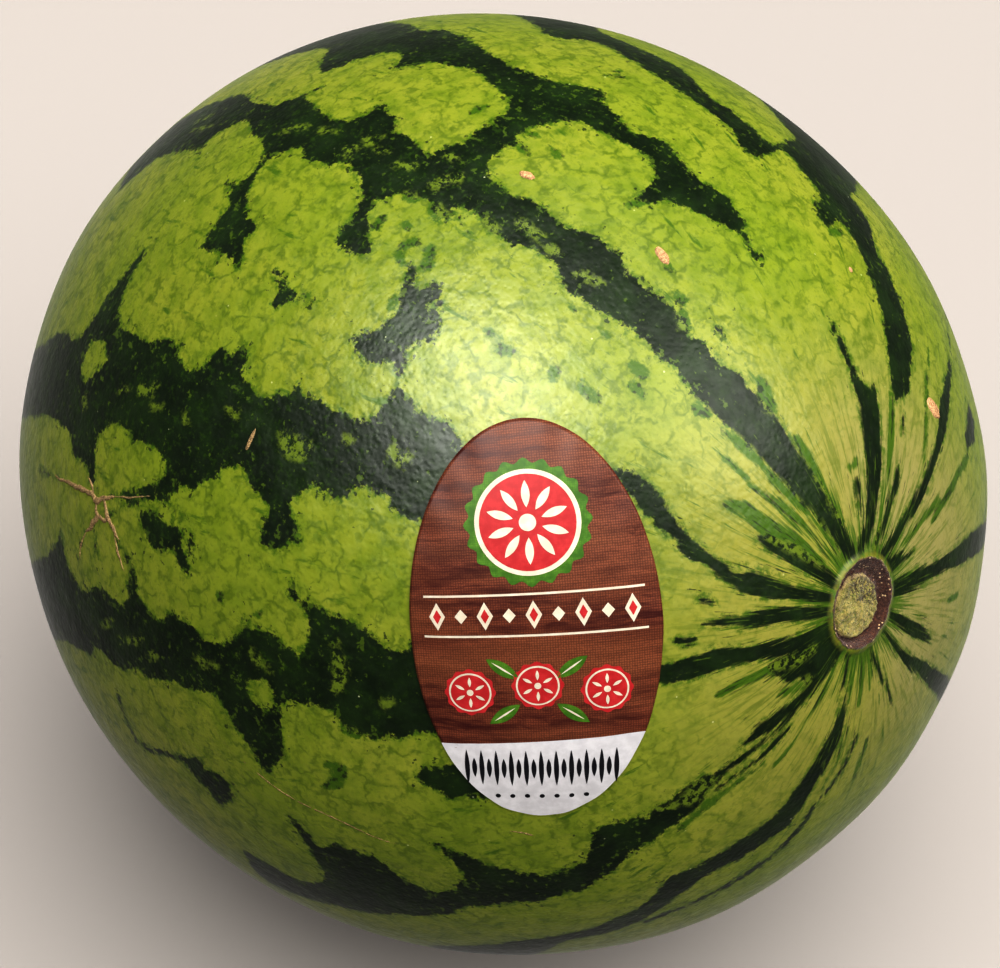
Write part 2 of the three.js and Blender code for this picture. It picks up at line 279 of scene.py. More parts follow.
# Spots and streaks of medium green, as points with a half-width
GREEN_MARKS = [
    [(929, 335, 2), (926, 380, 3), (926, 420, 3), (924, 462, 2)],
    [(891, 395, 4), (891, 440, 4), (888, 480, 3), (881, 525, 2), (876, 548, 2)],
    [(940, 500, 5), (925, 520, 5), (905, 545, 4)],
    [(968, 455, 4), (958, 475, 5), (948, 495, 5), (935, 520, 4)],
    [(720, 455, 3), (735, 468, 5), (748, 480, 2)],
    [(748, 484, 3), (775, 502, 4), (800, 524, 4), (830, 552, 3), (845, 570, 2)],
    [(762, 465, 3), (785, 490, 4), (808, 512, 4), (835, 545, 3)],
    [(725, 432, 4), (745, 447, 6), (760, 462, 4)],
    [(795, 436, 3), (806, 452, 4), (818, 475, 4), (830, 495, 4), (842, 520, 3)],
    [(727, 505, 4), (745, 508, 8), (765, 525, 9), (785, 538, 9), (805, 550, 7), (825, 564, 4)],
    [(838, 665, 2), (822, 700, 2), (800, 738, 2), (775, 765, 2)],
    [(856, 652, 2), (853, 680, 3), (850, 702, 1)],
    [(863, 652, 2), (864, 678, 3), (860, 705, 1)],
    [(869, 650, 2), (872, 672, 3), (870, 690, 1)],
    [(720, 695, 3), (740, 684, 5), (760, 676, 4), (775, 668, 3)],
    [(716, 800, 3), (700, 812, 4), (680, 828, 3)],
    [(850, 720, 2), (838, 760, 3), (822, 790, 3)],
    [(866, 740, 2), (857, 770, 3), (845, 800, 2)],
    [(760, 380, 5), (765, 395, 8), (770, 408, 6)],
    [(675, 295, 4), (684, 302, 6)],
    [(683, 312, 5), (686, 326, 5)],
    [(283, 435, 6), (292, 448, 12), (306, 448, 8)],
    [(140, 390, 5), (150, 392, 8), (156, 384, 4)],
    [(120, 392, 4), (128, 388, 4)],
    [(152, 406, 3), (160, 407, 4)],
    [(186, 412, 4), (187, 422, 4)],
    [(229, 410, 4), (236, 412, 6)],
    [(84, 398, 5), (85, 408, 6)],
    [(395, 452, 6), (402, 458, 8)],
    [(348, 440, 5), (352, 442, 3)],
    [(195, 123, 4), (212, 115, 4)],
    [(190, 131, 3), (205, 128, 3), (220, 122, 2)],
    [(284, 131, 4), (295, 127, 6), (308, 127, 4)],
    [(318, 129, 3), (330, 131, 4), (340, 133, 2)],
    [(360, 136, 3), (370, 142, 5), (382, 137, 3)],
    [(342, 148, 3), (350, 150, 6), (346, 158, 4)],
    [(378, 150, 4), (390, 152, 3)],
    [(398, 165, 6), (412, 166, 6)],
    [(436, 185, 5), (445, 180, 6), (460, 177, 4)],
    [(448, 156, 4), (458, 158, 4)],
    [(520, 224, 5), (530, 230, 5), (540, 236, 4)],
    [(546, 248, 4), (554, 252, 4)],
    [(578, 275, 3), (590, 278, 5), (600, 282, 3)],
    [(102, 626, 5), (112, 622, 4)],
    [(120, 641, 5), (134, 641, 5), (142, 637, 3)],
    [(148, 658, 3), (156, 656, 3)],
    [(196, 658, 4), (206, 664, 6), (218, 666, 4)],
    [(252, 650, 5), (258, 661, 5), (270, 669, 4)],
    [(335, 645, 5), (342, 668, 8), (336, 690, 5)],
    [(385, 705, 6), (392, 703, 5)],
    [(345, 728, 6), (360, 736, 5)],
    [(660, 810, 4), (690, 800, 5), (705, 790, 5)],
    [(472, 113, 5), (480, 108, 6), (490, 107, 3)],
    [(526, 132, 4), (536, 135, 6)],
    [(522, 149, 3), (530, 154, 4)],
    [(548, 147, 2), (558, 155, 5)],
    [(404, 246, 6), (418, 241, 5)],
    [(398, 254, 5), (400, 262, 4)],
    [(430, 248, 6), (427, 266, 7)],
    [(382, 218, 5), (376, 228, 6)],
    [(404, 224, 5), (410, 228, 3)],
    [(467, 234, 4), (472, 235, 3)],
    [(406, 197, 5), (416, 200, 5)],
    [(486, 220, 6), (495, 229, 5)],
    [(630, 205, 5), (640, 203, 6)],
    [(668, 268, 6), (674, 272, 3)],
    [(697, 408, 6), (705, 414, 5)],
    [(634, 366, 6), (644, 374, 5)],
    [(582, 388, 6), (596, 399, 4)],
    [(633, 385, 5), (640, 393, 5)],
    [(500, 348, 6), (512, 352, 4)],
    [(598, 326, 3), (606, 336, 4)],
    [(554, 370, 5), (551, 380, 4)],
    [(220, 596, 5), (222, 600, 4)],
    [(328, 765, 6), (342, 772, 8), (336, 783, 7), (325, 788, 4)],
    [(395, 300, 5), (392, 308, 5)],
    [(434, 210, 7), (442, 216, 7)],
    [(620, 70, 3), (614, 76, 4)],
    [(830, 233, 3), (840, 232, 6)],
    [(556, 155, 4), (562, 158, 2)],
    [(568, 303, 3), (574, 310, 3)],
    [(488, 330, 4), (496, 338, 4)],
    [(850, 468, 3), (856, 462, 2)],
    [(950, 600, 4), (958, 594, 3)],
    [(260, 612, 4), (256, 616, 4)],
    [(778, 668, 5), (796, 660, 6), (815, 650, 4)],
    [(782, 694, 4), (798, 690, 5), (812, 678, 3)],
    [(684, 800, 6), (700, 786, 8), (712, 780, 4)],
    [(704, 806, 3), (735, 784, 3), (765, 762, 2)],
]

# Bands on the side away from the camera, as points (from the stem, round, half-width), which carry on from
# the bands that cross the fruit's edge
FAR_BANDS = [
    [(96, 56, 7), (110, 56, 7.5), (128, 50, 8), (150, 46, 6), (172, 44, 1.5)],
    [(92, 80, 7), (104, 80, 7.5), (125, 86, 8.5), (150, 84, 6), (172, 82, 1.5)],
    [(70, 110, 5), (84, 111, 5), (105, 117, 8), (135, 121, 7), (160, 118, 4), (172, 118, 1.5)],
    [(48, 133, 4), (64, 134, 5), (90, 147, 8), (120, 152, 8), (150, 158, 5), (172, 158, 1.5)],
    [(30, 165, 2), (44, 163, 4), (70, 172, 7), (105, 183, 8), (140, 188, 6), (170, 190, 1.5)],
    [
        (16, 215, 2), (24, 216, 3), (45, 208, 5), (80, 206, 8),
        (115, 213, 8), (150, 214, 5), (172, 215, 1.5),
    ],
    [
        (15, 258, 2), (23, 252, 2.5), (45, 238, 5), (80, 233, 7),
        (115, 240, 9), (150, 238, 5), (172, 238, 1.5),
    ],
    [
        (22, 268, 1.5), (35, 268, 3), (60, 262, 6), (95, 264, 9),
        (130, 268, 7), (155, 264, 5), (172, 264, 1.5),
    ],
    [(28, 294, 2.5), (38, 293, 3), (65, 287, 7), (100, 290, 8), (135, 292, 7), (170, 292, 1.5)],
    [(44, 318, 4), (56, 316, 5), (80, 314, 8), (110, 318, 8), (145, 314, 6), (172, 314, 1.5)],
    [(68, 344, 3), (82, 342, 3.5), (105, 340, 7), (135, 338, 7), (160, 340, 4), (172, 340, 1.5)],
    [(90, 10, 4), (102, 8, 5), (120, 4, 7), (145, 6, 6), (172, 6, 1.5)],
    [(95, 30, 5), (108, 28, 6), (128, 27, 6), (150, 25, 5), (172, 25, 1.5)],
]

# Stem scar: distance from its middle, rise, and how much of the core's lean each step takes
SCAR_STEPS = [
    (0.0, -0.7, 0.0),
    (2.3, -0.7, 0.5),
    (5.3, -0.7, 1.0),
    (5.9, -1.7, 1.0),
    (6.9, -1.6, 0.3),
    (7.3, -0.2, 0.0),
    (7.6, 0.42, 0.0),
    (8.1, 0.42, 0.0),
    (9.2, 0.0, 0.0),
    (11.0, 0.0, 0.0),
]
CORE_EDGE = 5.8
RING_EDGE = 7.9
SCAR_OVAL = 0.065
SCAR_OVAL_TURN = 150.0
CORE_LEAN = 1.15
CORE_LEAN_TURN = 138.0
# Lumps of the torn core, as size, seed and height, and the lumps on the collar
CORE_LUMPS = [(0.9, 3, 0.34), (0.45, 4, 0.16), (2.2, 5, 0.5)]
COLLAR_BREADTH = 1.2
COLLAR_RISE = 0.25
STEM_DIMPLE = 0.8
STEM_DIMPLE_REACH = 20.0
BUTTON_STEPS = [(0.0, 0.15), (2.2, 0.25), (3.4, 0.48), (4.6, 0.0), (12.0, 0.0)]
BLOSSOM_DIMPLE = 1.3
BLOSSOM_DIMPLE_REACH = 16.0
STEM_TIP_RISE = -0.9
BLOSSOM_TIP_RISE = 0.15 - BLOSSOM_DIMPLE
# Degrees from the stem within which the scar lies, and a distance that is off every scar
SCAR_END = 20.0
NOWHERE = 999.0

# Label, as in the solids
LABEL_WIDTH = 42.7
LABEL_HEIGHT = 73.4
LABEL_EGG = 0.02
LABEL_PLACE = (31.8, 70.8)
LABEL_TURN = -86.4
LABEL_RISE = 0.5
LABEL_EDGE_RISE = 0.22
LABEL_THICKNESS = 0.12
LABEL_RIM_FROM = 0.72
LABEL_PUCKER = 0.11
LABEL_COLUMNS = 180
LABEL_RINGS = 44


def unit(vectors):
    vectors = np.asarray(vectors, float)
    return vectors / np.linalg.norm(vectors, axis=-1, keepdims=True)


def direction(from_stem, round_fruit):
    p = np.radians(from_stem)[..., None]
    q = np.radians(round_fruit)[..., None]
    return np.cos(p) * STEMWARD + np.sin(p) * (np.cos(q) * CROWNWARD + np.sin(q) * FRONTWARD)


def place_of(headings):
    headings = unit(headings)
    from_stem = np.degrees(np.arccos(np.clip(headings @ STEMWARD, -1, 1)))
    round_fruit = np.degrees(np.arctan2(headings @ FRONTWARD, headings @ CROWNWARD))
    return from_stem, round_fruit


def skin_reach(from_stem, round_fruit):
    """Distance of the skin from the fruit's middle, without the scars."""
    p = np.radians(from_stem)
    q = np.radians(round_fruit)
    across = np.sin(p) ** 2
    egg = 1 / np.hypot(np.cos(p) / HALF_LENGTH, np.sin(p) / HALF_BREADTH)
    section = OVAL * np.cos(2 * q) + TRIANGLE * np.cos(3 * (q - math.radians(TRIANGLE_TURN)))
    lobes = LOBE_DEPTH * across * np.cos(p) ** 2 * 2 * np.cos(LOBES * q)
    return egg * (1 + across * section) + lobes


def skin_point(from_stem, round_fruit, rise=0.0):
    from_stem = np.asarray(from_stem, float)
    round_fruit = np.asarray(round_fruit, float)
    reach = skin_reach(from_stem, round_fruit) + rise
    return direction(from_stem, round_fruit) * reach[..., None]


def aim(azimuth, elevation):
    """A direction, from its angle round from the front and its angle above the floor."""
    around = math.radians(azimuth)
    above = math.radians(elevation)
    level = math.cos(above)
    return np.array([math.sin(around) * level, -math.cos(around) * level, math.sin(above)])


def camera_axes():
    """The camera's place from the fruit's middle, and its right, up and forward directions."""
    back = aim(VIEW_AZIMUTH, VIEW_ELEVATION)
    right = aim(VIEW_AZIMUTH + 90, 0)
    up = np.cross(back, right)
    yaw = math.radians(VIEW_YAW)
    pitch = math.radians(VIEW_PITCH)
    forward = -back * math.cos(yaw) + right * math.sin(yaw)
    level = unit(np.cross(forward, up))
    forward = forward * math.cos(pitch) + np.cross(level, forward) * math.sin(pitch)
    right = unit(np.cross(forward, [0.0, 0.0, 1.0]))
    return VIEW_DISTANCE * back, right, np.cross(right, forward), forward


CAMERA, VIEW_RIGHT, VIEW_UP, VIEW_FORWARD = camera_axes()

# The chart's directions, the radius that turns its angles into millimetres, and how far round the fruit's
# edge a traced point goes for each millimetre that it lies off the fruit
CHART_OUT = unit(CAMERA)
CHART_RIGHT = unit(np.cross([0.0, 0.0, 1.0], CHART_OUT))
CHART_UP = np.cross(CHART_OUT, CHART_RIGHT)
CHART_REACH = 105.0
PAST_EDGE = math.radians(3.0)


def chart_of(headings, past=0.0):
    """A flat chart of the skin round the place that faces the camera, in millimetres along the skin."""
    headings = unit(headings)
    turn = np.arccos(np.clip(headings @ CHART_OUT, -1, 1)) + past
    side = np.stack([headings @ CHART_RIGHT, headings @ CHART_UP], axis=-1)
    side = side / np.maximum(np.linalg.norm(side, axis=-1, keepdims=True), 1e-9)
    return side * (turn * CHART_REACH)[..., None]


def chart_of_pixels(pixels):
    """Where points of the photograph fall on the chart. Points off the fruit go round its edge a little."""
    pixels = np.asarray(pixels, float)
    sideways = (pixels[:, 0] - PHOTO_WIDTH / 2) / VIEW_PIXELS
    upwards = (PHOTO_HEIGHT / 2 - pixels[:, 1]) / VIEW_PIXELS
    rays = unit(VIEW_FORWARD + sideways[:, None] * VIEW_RIGHT + upwards[:, None] * VIEW_UP)
    nearest = -(rays @ CAMERA)
    closest = np.linalg.norm(CAMERA + nearest[:, None] * rays, axis=1)
    along = nearest.copy()
    for _ in range(30):
        reach = skin_reach(*place_of(CAMERA + along[:, None] * rays))
        along = nearest - np.sqrt(np.maximum(reach**2 - closest**2, 0))
    past = PAST_EDGE * np.maximum(closest - reach, 0)
    return chart_of(CAMERA + along[:, None] * rays, past)


def outline_distance(points, outline):
    """Distance of each point from a closed outline, less than 0 inside it."""
    start = outline
    end = np.roll(outline, -1, axis=0)
    span = end - start
    offset = points[:, None, :] - start[None]
    along = np.clip((offset * span).sum(2) / np.maximum((span**2).sum(1), 1e-9), 0, 1)
    gap = np.linalg.norm(offset - along[..., None] * span, axis=2).min(1)
    x, y = points[:, 0, None], points[:, 1, None]
    crosses = (start[:, 1] > y) != (end[:, 1] > y)
    slope = span[:, 0] / np.where(span[:, 1] == 0, 1e-9, span[:, 1])
    left = x < start[:, 0] + (y - start[:, 1]) * slope
    inside = (crosses & left).sum(1) % 2 == 1
    return np.where(inside, -gap, gap)


def line_distance(points, line, half_widths):
    """Distance of each point from a tapered line's edge, less than 0 on it."""
    best = np.full(len(points), np.inf)
    for (a, b), (wide_a, wide_b) in zip(zip(line[:-1], line[1:]), zip(half_widths[:-1], half_widths[1:])):
        span = b - a
        along = np.clip(((points - a) @ span) / max(span @ span, 1e-9), 0, 1)
        gap = np.linalg.norm(points - a - along[:, None] * span, axis=1)
        best = np.minimum(best, gap - (wide_a + (wide_b - wide_a) * along))
    return best


# Beyond this distance a shape doesn't matter. Half-widths in pixels are turned into millimetres by one scale.
FAR_OFF = 12.0
PIXELS_PER_MM = 5.5


def lowered(field, chart, shape, measure):
    """The field with a shape's distances taken in where the points are near it."""
    low = shape.min(0) - FAR_OFF
    high = shape.max(0) + FAR_OFF
    near = np.nonzero(((chart > low) & (chart < high)).all(1))[0]
    if len(near):
        field[near] = np.minimum(field[near], measure(chart[near]))
    return field


def traced_field(chart, outlines, lines):
    field = np.full(len(chart), FAR_OFF)
    for points in outlines:
        shape = chart_of_pixels(points)
        lowered(field, chart, shape, lambda near, shape=shape: outline_distance(near, shape))
    for points in lines:
        points = np.array(points, float)
        shape = chart_of_pixels(points[:, :2])
        half = points[:, 2] / PIXELS_PER_MM
        lowered(field, chart, shape, lambda near, shape=shape, half=half: line_distance(near, shape, half))
    return field


LUMP_SHIFT = (7.31, 3.17, 5.73)


def lumps(points, size, seed):
    """Soft random lumps of a given size, from -1 to 1."""
    shift = Vector(LUMP_SHIFT) * seed
    return np.array([noise.noise(Vector(point) / size + shift) for point in points])


# How far the far bands sway and their fingers reach, how far from the axis the fingers are full, and how
# round the bands' ends are
FAR_SWAY = 8.0
FAR_FINGERS = 7.5
FINGERS_FROM = 60.0
FAR_ROUNDING = 0.7


def far_field(from_stem, round_fruit, points):
    """Distances from the bands of the far side, with wavy edges and side fingers."""
    field = np.full(len(from_stem), FAR_OFF)
    sway = FAR_SWAY * lumps(points, 34.0, 1)
    fingers = FAR_FINGERS * lumps(points, 12.0, 2)
    swell = 1.1 + 0.8 * lumps(points, 26.0, 11)
    around = np.sin(np.radians(from_stem)) * HALF_BREADTH
    for knots in FAR_BANDS:
        steps = np.array(knots, float)
        middle = np.interp(from_stem, steps[:, 0], steps[:, 1])
        half = np.interp(from_stem, steps[:, 0], steps[:, 2])
        turn = (round_fruit - middle + 180) % 360 - 180
        beside = np.radians(turn) * around + sway
        past_end = np.maximum(steps[0, 0] - from_stem, from_stem - steps[-1, 0])
        beyond = np.radians(np.maximum(past_end, 0)) * HALF_LENGTH
        field = np.minimum(field, np.hypot(beside, FAR_ROUNDING * beyond) - half * swell)
    return field + fingers * np.clip(around / FINGERS_FROM, 0, 1)


def smooth_step(low, high, value):
    t = np.clip((value - low) / (high - low), 0, 1)
    return t * t * (3 - 2 * t)


# Fineness of the skin: columns are closer on the camera's side, and rings on the scar
NEAR_SIDE = (-46.0, 148.0)
NEAR_COLUMNS = 252
FAR_COLUMNS = 120
SCAR_RING = 0.34
SCAR_RINGS_END = 10.5
NEAR_RING = 1.12
FAR_RING = 2.6
NEAR_RINGS_END = 222.0


def skin_columns():
    near = np.linspace(*NEAR_SIDE, NEAR_COLUMNS, endpoint=False)
    far = np.linspace(NEAR_SIDE[1], NEAR_SIDE[0] + 360, FAR_COLUMNS, endpoint=False)
    return np.concatenate([near, far])


def skin_rings():
    """Angles from the stem, even along the skin within each stretch."""
    fine = np.linspace(0, 180, 3601)
    point = skin_point(fine, np.full_like(fine, 90.0))
    length = np.concatenate([[0], np.cumsum(np.linalg.norm(np.diff(point, axis=0), axis=1))])
    stops = np.concatenate([
        np.arange(SCAR_RING, SCAR_RINGS_END, SCAR_RING),
        np.arange(SCAR_RINGS_END, NEAR_RINGS_END, NEAR_RING),
        np.arange(NEAR_RINGS_END, length[-1] - 1, FAR_RING),
    ])
    return np.interp(stops, length, fine), stops


def off_axis(from_stem):
    return HALF_LENGTH * np.sin(np.radians(from_stem))


def scar_distance(from_stem, round_fruit):
    """Distance from the stem scar's middle, corrected for the scar's oval."""
    oval = 1 + SCAR_OVAL * np.cos(2 * np.radians(round_fruit - SCAR_OVAL_TURN))
    return np.where(from_stem < 90, off_axis(from_stem) / oval, NOWHERE)


def scar_rise(from_stem, round_fruit, points):
    distance = scar_distance(from_stem, round_fruit)
    steps = np.array(SCAR_STEPS)
    lean = CORE_LEAN * np.cos(np.radians(round_fruit - CORE_LEAN_TURN))
    distance = distance - lean * np.interp(distance, steps[:, 0], steps[:, 2])
    rise = np.interp(distance, steps[:, 0], steps[:, 1])
    inside = smooth_step(RING_EDGE - 0.7, CORE_EDGE, distance)
    torn = sum(height * lumps(points, size, seed) for size, seed, height in CORE_LUMPS)
    collar = np.exp(-(((distance - RING_EDGE) / COLLAR_BREADTH) ** 2)) * COLLAR_RISE * lumps(points, 3.0, 6)
    return rise + inside * torn + collar, distance


def end_dimples(from_stem):
    distance = off_axis(from_stem)
    steps = np.array(BUTTON_STEPS)
    stem = -STEM_DIMPLE * np.exp(-((distance / STEM_DIMPLE_REACH) ** 2))
    blossom = -BLOSSOM_DIMPLE * np.exp(-((distance / BLOSSOM_DIMPLE_REACH) ** 2))
    button = np.interp(distance, steps[:, 0], steps[:, 1])
    return np.where(from_stem < 90, stem, blossom + button)


def ring_faces(rings, columns):
    """Quads between rings of points, joined up round each ring."""
    faces = []
    for ring in range(rings - 1):
        start = ring * columns
        for i in range(columns):
            j = (i + 1) % columns
            faces.append((start + i, start + columns + i, start + columns + j, start + j))
    return faces


def fan_faces(middle, start, count, turned=False):
    """Triangles from a middle point to a ring of points."""
    faces = []
    for i in range(count):
        a = start + i
        b = start + (i + 1) % count
        faces.append((middle, b, a) if turned else (middle, a, b))
    return faces


def new_object(name, points, faces, material, smooth=True):
    mesh = bpy.data.meshes.new(name)
    mesh.from_pydata([tuple(v) for v in (np.asarray(points) * MM)], [], faces)
    mesh.validate()
    mesh.update()
    for polygon in mesh.polygons:
        polygon.use_smooth = smooth
    thing = bpy.data.objects.new(name, mesh)
    bpy.context.scene.collection.objects.link(thing)
    if material is not None:
        mesh.materials.append(material)
    return thing


def add_numbers(thing, name, values):
    attribute = thing.data.attributes.new(name, "FLOAT", "POINT")
    attribute.data.foreach_set("value", np.asarray(values, np.float32))


def add_vectors(thing, name, values):
    attribute = thing.data.attributes.new(name, "FLOAT_VECTOR", "POINT")
    attribute.data.foreach_set("vector", np.asarray(values, np.float32).ravel())


# Past the fruit's edge the traced bands run on and taper out, the far ones taper in and the green marks fade,
# over these degrees and a sway of them
BAND_END = 22.0
TRACED_TAPER = (8.0, 42.0)
FAR_TAPER = (9.0, 1.0)
EDGE_SWAY = 6.0
EDGE_SWAY_SIZE = 18.0
EDGE_SWAY_SEED = 12
MARKS_FADE = (3.0, 16.0)

# Streaks near the stem: how many run round the fruit, and their length
STREAKS = 24.0
STREAK_LENGTH = 13.0


def surface_normals(points, columns):
    grid = points.reshape(-1, columns, 3)
    around = np.roll(grid, -1, axis=1) - np.roll(grid, 1, axis=1)
    along = np.gradient(grid, axis=0)
    normal = unit(np.cross(around, along))
    outward = (normal * grid).sum(2, keepdims=True)
    return (normal * np.sign(outward)).reshape(-1, 3)


def skin_pattern(from_stem, round_fruit, plain, columns):
    """Distances of the skin's points from the dark bands and the green marks, less than 0 inside them."""
    facing = (surface_normals(plain, columns) * unit(CAMERA - plain)).sum(1)
    past_edge = np.arcsin(np.clip(-facing, -1, 1))
    chart = chart_of(plain, -np.maximum(past_edge, 0))
    past_edge = np.degrees(past_edge) + EDGE_SWAY * lumps(plain, EDGE_SWAY_SIZE, EDGE_SWAY_SEED)

    traced = traced_field(chart, DARK_BANDS.values(), DARK_LINES)
    islands = traced_field(chart, LIGHT_ISLANDS.values(), [])
    traced = np.maximum(traced, -islands) + BAND_END * smooth_step(*TRACED_TAPER, past_edge)
    far = far_field(from_stem, round_fruit % 360, plain) + BAND_END * smooth_step(*FAR_TAPER, past_edge)

    hidden = smooth_step(*MARKS_FADE, past_edge)
    marks = traced_field(chart, [], GREEN_MARKS) * (1 - hidden) + FAR_OFF * hidden
    return np.minimum(traced, far), marks


def build_fruit(material):
    columns = skin_columns()
    rings, lengths = skin_rings()
    count = len(columns)
    from_stem = np.repeat(rings, count)
    along_skin = np.repeat(lengths, count)
    round_fruit = np.tile(columns, len(rings))
    plain = skin_point(from_stem, round_fruit)
    scar, scar_place = scar_rise(from_stem, round_fruit, plain)
    rise = np.where(from_stem < SCAR_END, scar, 0) + end_dimples(from_stem)
    points = skin_point(from_stem, round_fruit, rise)
    band, marks = skin_pattern(from_stem, round_fruit, plain, count)
    q = np.radians(round_fruit)
    grain = np.stack([STREAKS * np.cos(q), STREAKS * np.sin(q), along_skin / STREAK_LENGTH], axis=-1)

    tips = skin_point([0.0, 180.0], [0.0, 0.0], np.array([STEM_TIP_RISE, BLOSSOM_TIP_RISE]))
    all_points = np.concatenate([points, tips]) + MIDDLE
    all_points[:, 2] = np.maximum(all_points[:, 2], 0.0)
    faces = ring_faces(len(rings), count)
    faces += fan_faces(len(points), 0, count)
    faces += fan_faces(len(points) + 1, len(points) - count, count, turned=True)

    thing = new_object("watermelon", all_points, faces, material)
    add_numbers(thing, "band", np.append(band, [FAR_OFF, FAR_OFF]))
    add_numbers(thing, "green", np.append(marks, [FAR_OFF, FAR_OFF]))
    add_numbers(thing, "scar", np.append(scar_place, [0, NOWHERE]))
    add_numbers(thing, "along", np.append(along_skin, [0, lengths[-1]]))
    add_vectors(thing, "grain", np.concatenate([grain, np.zeros((2, 3))]))
    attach(thing, BODY)
    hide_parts("fruit")
    return thing


class Graph:
    """Short calls for a material's nodes."""

    def __init__(self, name):
        self.material = bpy.data.materials.new(name)
        self.material.use_nodes = True
        self.tree = self.material.node_tree
        self.tree.nodes.clear()

    def node(self, kind, **settings):
        made = self.tree.nodes.new(kind)
        for key, value in settings.items():
            setattr(made, key, value)
        return made

    def put(self, socket, value):
        if hasattr(value, "is_output"):
            self.tree.links.new(value, socket)
        else:
            socket.default_value = value

    def made(self, kind, inputs, output, **settings):
        """A new node's output, with its inputs filled by name or number."""
        node = self.node(kind, **settings)
        for name, value in inputs.items():
            self.put(node.inputs[name], value)
        return node.outputs[output]

    def math(self, operation, *values):
        return self.made("ShaderNodeMath", dict(enumerate(values)), 0, operation=operation)

    def add(self, *values):
        total = values[0]
        for value in values[1:]:
            total = self.math("ADD", total, value)
        return total

    def times(self, a, b):
        return self.math("MULTIPLY", a, b)

    def vector(self, operation, a, b):
        second = "Scale" if operation == "SCALE" else 1
        return self.made("ShaderNodeVectorMath", {0: a, second: b}, 0, operation=operation)

    def axis(self, vector, name):
        return self.made("ShaderNodeSeparateXYZ", {"Vector": vector}, name)

    def number(self, name):
        return self.made("ShaderNodeAttribute", {}, "Fac", attribute_name=name)

    def numbers(self, name):
        return self.made("ShaderNodeAttribute", {}, "Vector", attribute_name=name)

    def millimetres(self):
        place = self.made("ShaderNodeTexCoord", {}, "Object")
        return self.vector("SCALE", place, 1 / MM)

    def noise(self, vector, scale, detail=2.0, roughness=0.5, distortion=0.0, output="Fac"):
        inputs = {"Vector": vector, "Scale": scale, "Detail": detail}
        inputs |= {"Roughness": roughness, "Distortion": distortion}
        return self.made("ShaderNodeTexNoise", inputs, output)

    def warp(self, vector, scale, reach):
        """The vector, pushed aside at random by up to half the reach."""
        push = self.noise(vector, scale, output="Color")
        push = self.vector("SUBTRACT", push, (0.5, 0.5, 0.5))
        return self.vector("ADD", vector, self.vector("SCALE", push, reach))

    def cells(self, vector, scale, feature="F1", randomness=1.0):
        inputs = {"Vector": vector, "Scale": scale, "Randomness": randomness}
        return self.made("ShaderNodeTexVoronoi", inputs, "Distance", feature=feature)

    def ramp(self, value, low, high, to_low=0.0, to_high=1.0, kind="SMOOTHSTEP"):
        inputs = {"Value": value, "From Min": low, "From Max": high, "To Min": to_low, "To Max": to_high}
        return self.made("ShaderNodeMapRange", inputs, "Result", interpolation_type=kind)

    def speckle(self, place, scale, detail, roughness, low, high, most=1.0):
        """Spots where a noise is high."""
        return self.ramp(self.noise(place, scale, detail, roughness), low, high, 0.0, most)

    def rgba(self, colour):
        return colour if hasattr(colour, "is_output") else (*colour, 1)

    def mix(self, factor, a, b):
        inputs = {"Factor": factor, "A": self.rgba(a), "B": self.rgba(b)}
        return self.made("ShaderNodeMix", inputs, "Result", data_type="RGBA")

    def blend(self, factor, a, b):
        inputs = {"Factor": factor, "A": a, "B": b}
        return self.made("ShaderNodeMix", inputs, "Result", data_type="FLOAT")

    def bump(self, height, distance, strength, under=None):
        inputs = {"Height": height, "Distance": distance, "Strength": strength}
        if under is not None:
            inputs["Normal"] = under
        return self.made("ShaderNodeBump", inputs, "Normal")

    def finish(self, colour, roughness, normal=None, **settings):
        inputs = {"Base Color": self.rgba(colour), "Roughness": roughness}
        if normal is not None:
            inputs["Normal"] = normal
        inputs |= {name.replace("_", " "): value for name, value in settings.items()}
        shader = self.made("ShaderNodeBsdfPrincipled", inputs, "BSDF")
        output = self.node("ShaderNodeOutputMaterial")
        self.tree.links.new(shader, output.inputs["Surface"])
        return self.material


# Skin colours, as linear light
LIGHT_GREEN = (0.110, 0.140, 0.0115)
LIGHT_GREEN_YELLOW = (0.136, 0.152, 0.019)
LIGHT_GREEN_DEEP = (0.075, 0.108, 0.0065)
SHOULDER_GREEN = (0.148, 0.142, 0.034)
# Painted sheen: a greyish olive that stands in for the gloss's haze on the shoulder's side away from the
# front
SHOULDER_PAINTED_SHEEN = (0.152, 0.137, 0.060)
VEIN_GREEN = (0.045, 0.073, 0.004)
MEDIUM_GREEN = (0.030, 0.066, 0.003)
MOTTLE_GREEN = (0.052, 0.084, 0.007)
MOTTLE_PALE = (0.078, 0.108, 0.010)
DARK_GREEN = (0.0045, 0.0095, 0.0034)
DARK_GREEN_SOFT = (0.0085, 0.019, 0.0045)
DUST = (0.30, 0.32, 0.20)
CORK_DARK = (0.026, 0.0085, 0.0055)
CORK_BROWN = (0.088, 0.036, 0.018)
SAP = (0.44, 0.34, 0.20)
CORE_STRAW = (0.245, 0.20, 0.066)
CORE_GREEN = (0.088, 0.102, 0.018)
# Painted shade: the dark in the gaps between the core's fibres
CORE_GAP_SHADE = (0.022, 0.013, 0.006)
COLLAR_OLIVE = (0.105, 0.105, 0.014)
COLLAR_GREEN = (0.045, 0.085, 0.010)


# Along the skin from the stem: where the streaky shoulder turns into the body, and the body's middle
SHOULDER_ENDS = (20.0, 62.0)
BODY_MIDDLE = (70.0, 115.0)

# How far the edges of the bands swing in lumps, in feathers and in streaks
LUMP_SWING = 4.2
FEATHER_SWING = 2.6
STREAK_SWING = 3.6
SCAR_SWING = 0.9
CORE_SWING = 1.2

# Depths of the relief in the material, in metres as its bump takes them
WAVE_DEPTH = 0.35 * MM
PEBBLE_DEPTH = 0.09 * MM
FIBRE_DEPTH = 0.6 * MM
CORK_DEPTH = 0.3 * MM
PAPER_DEPTH = 0.02 * MM


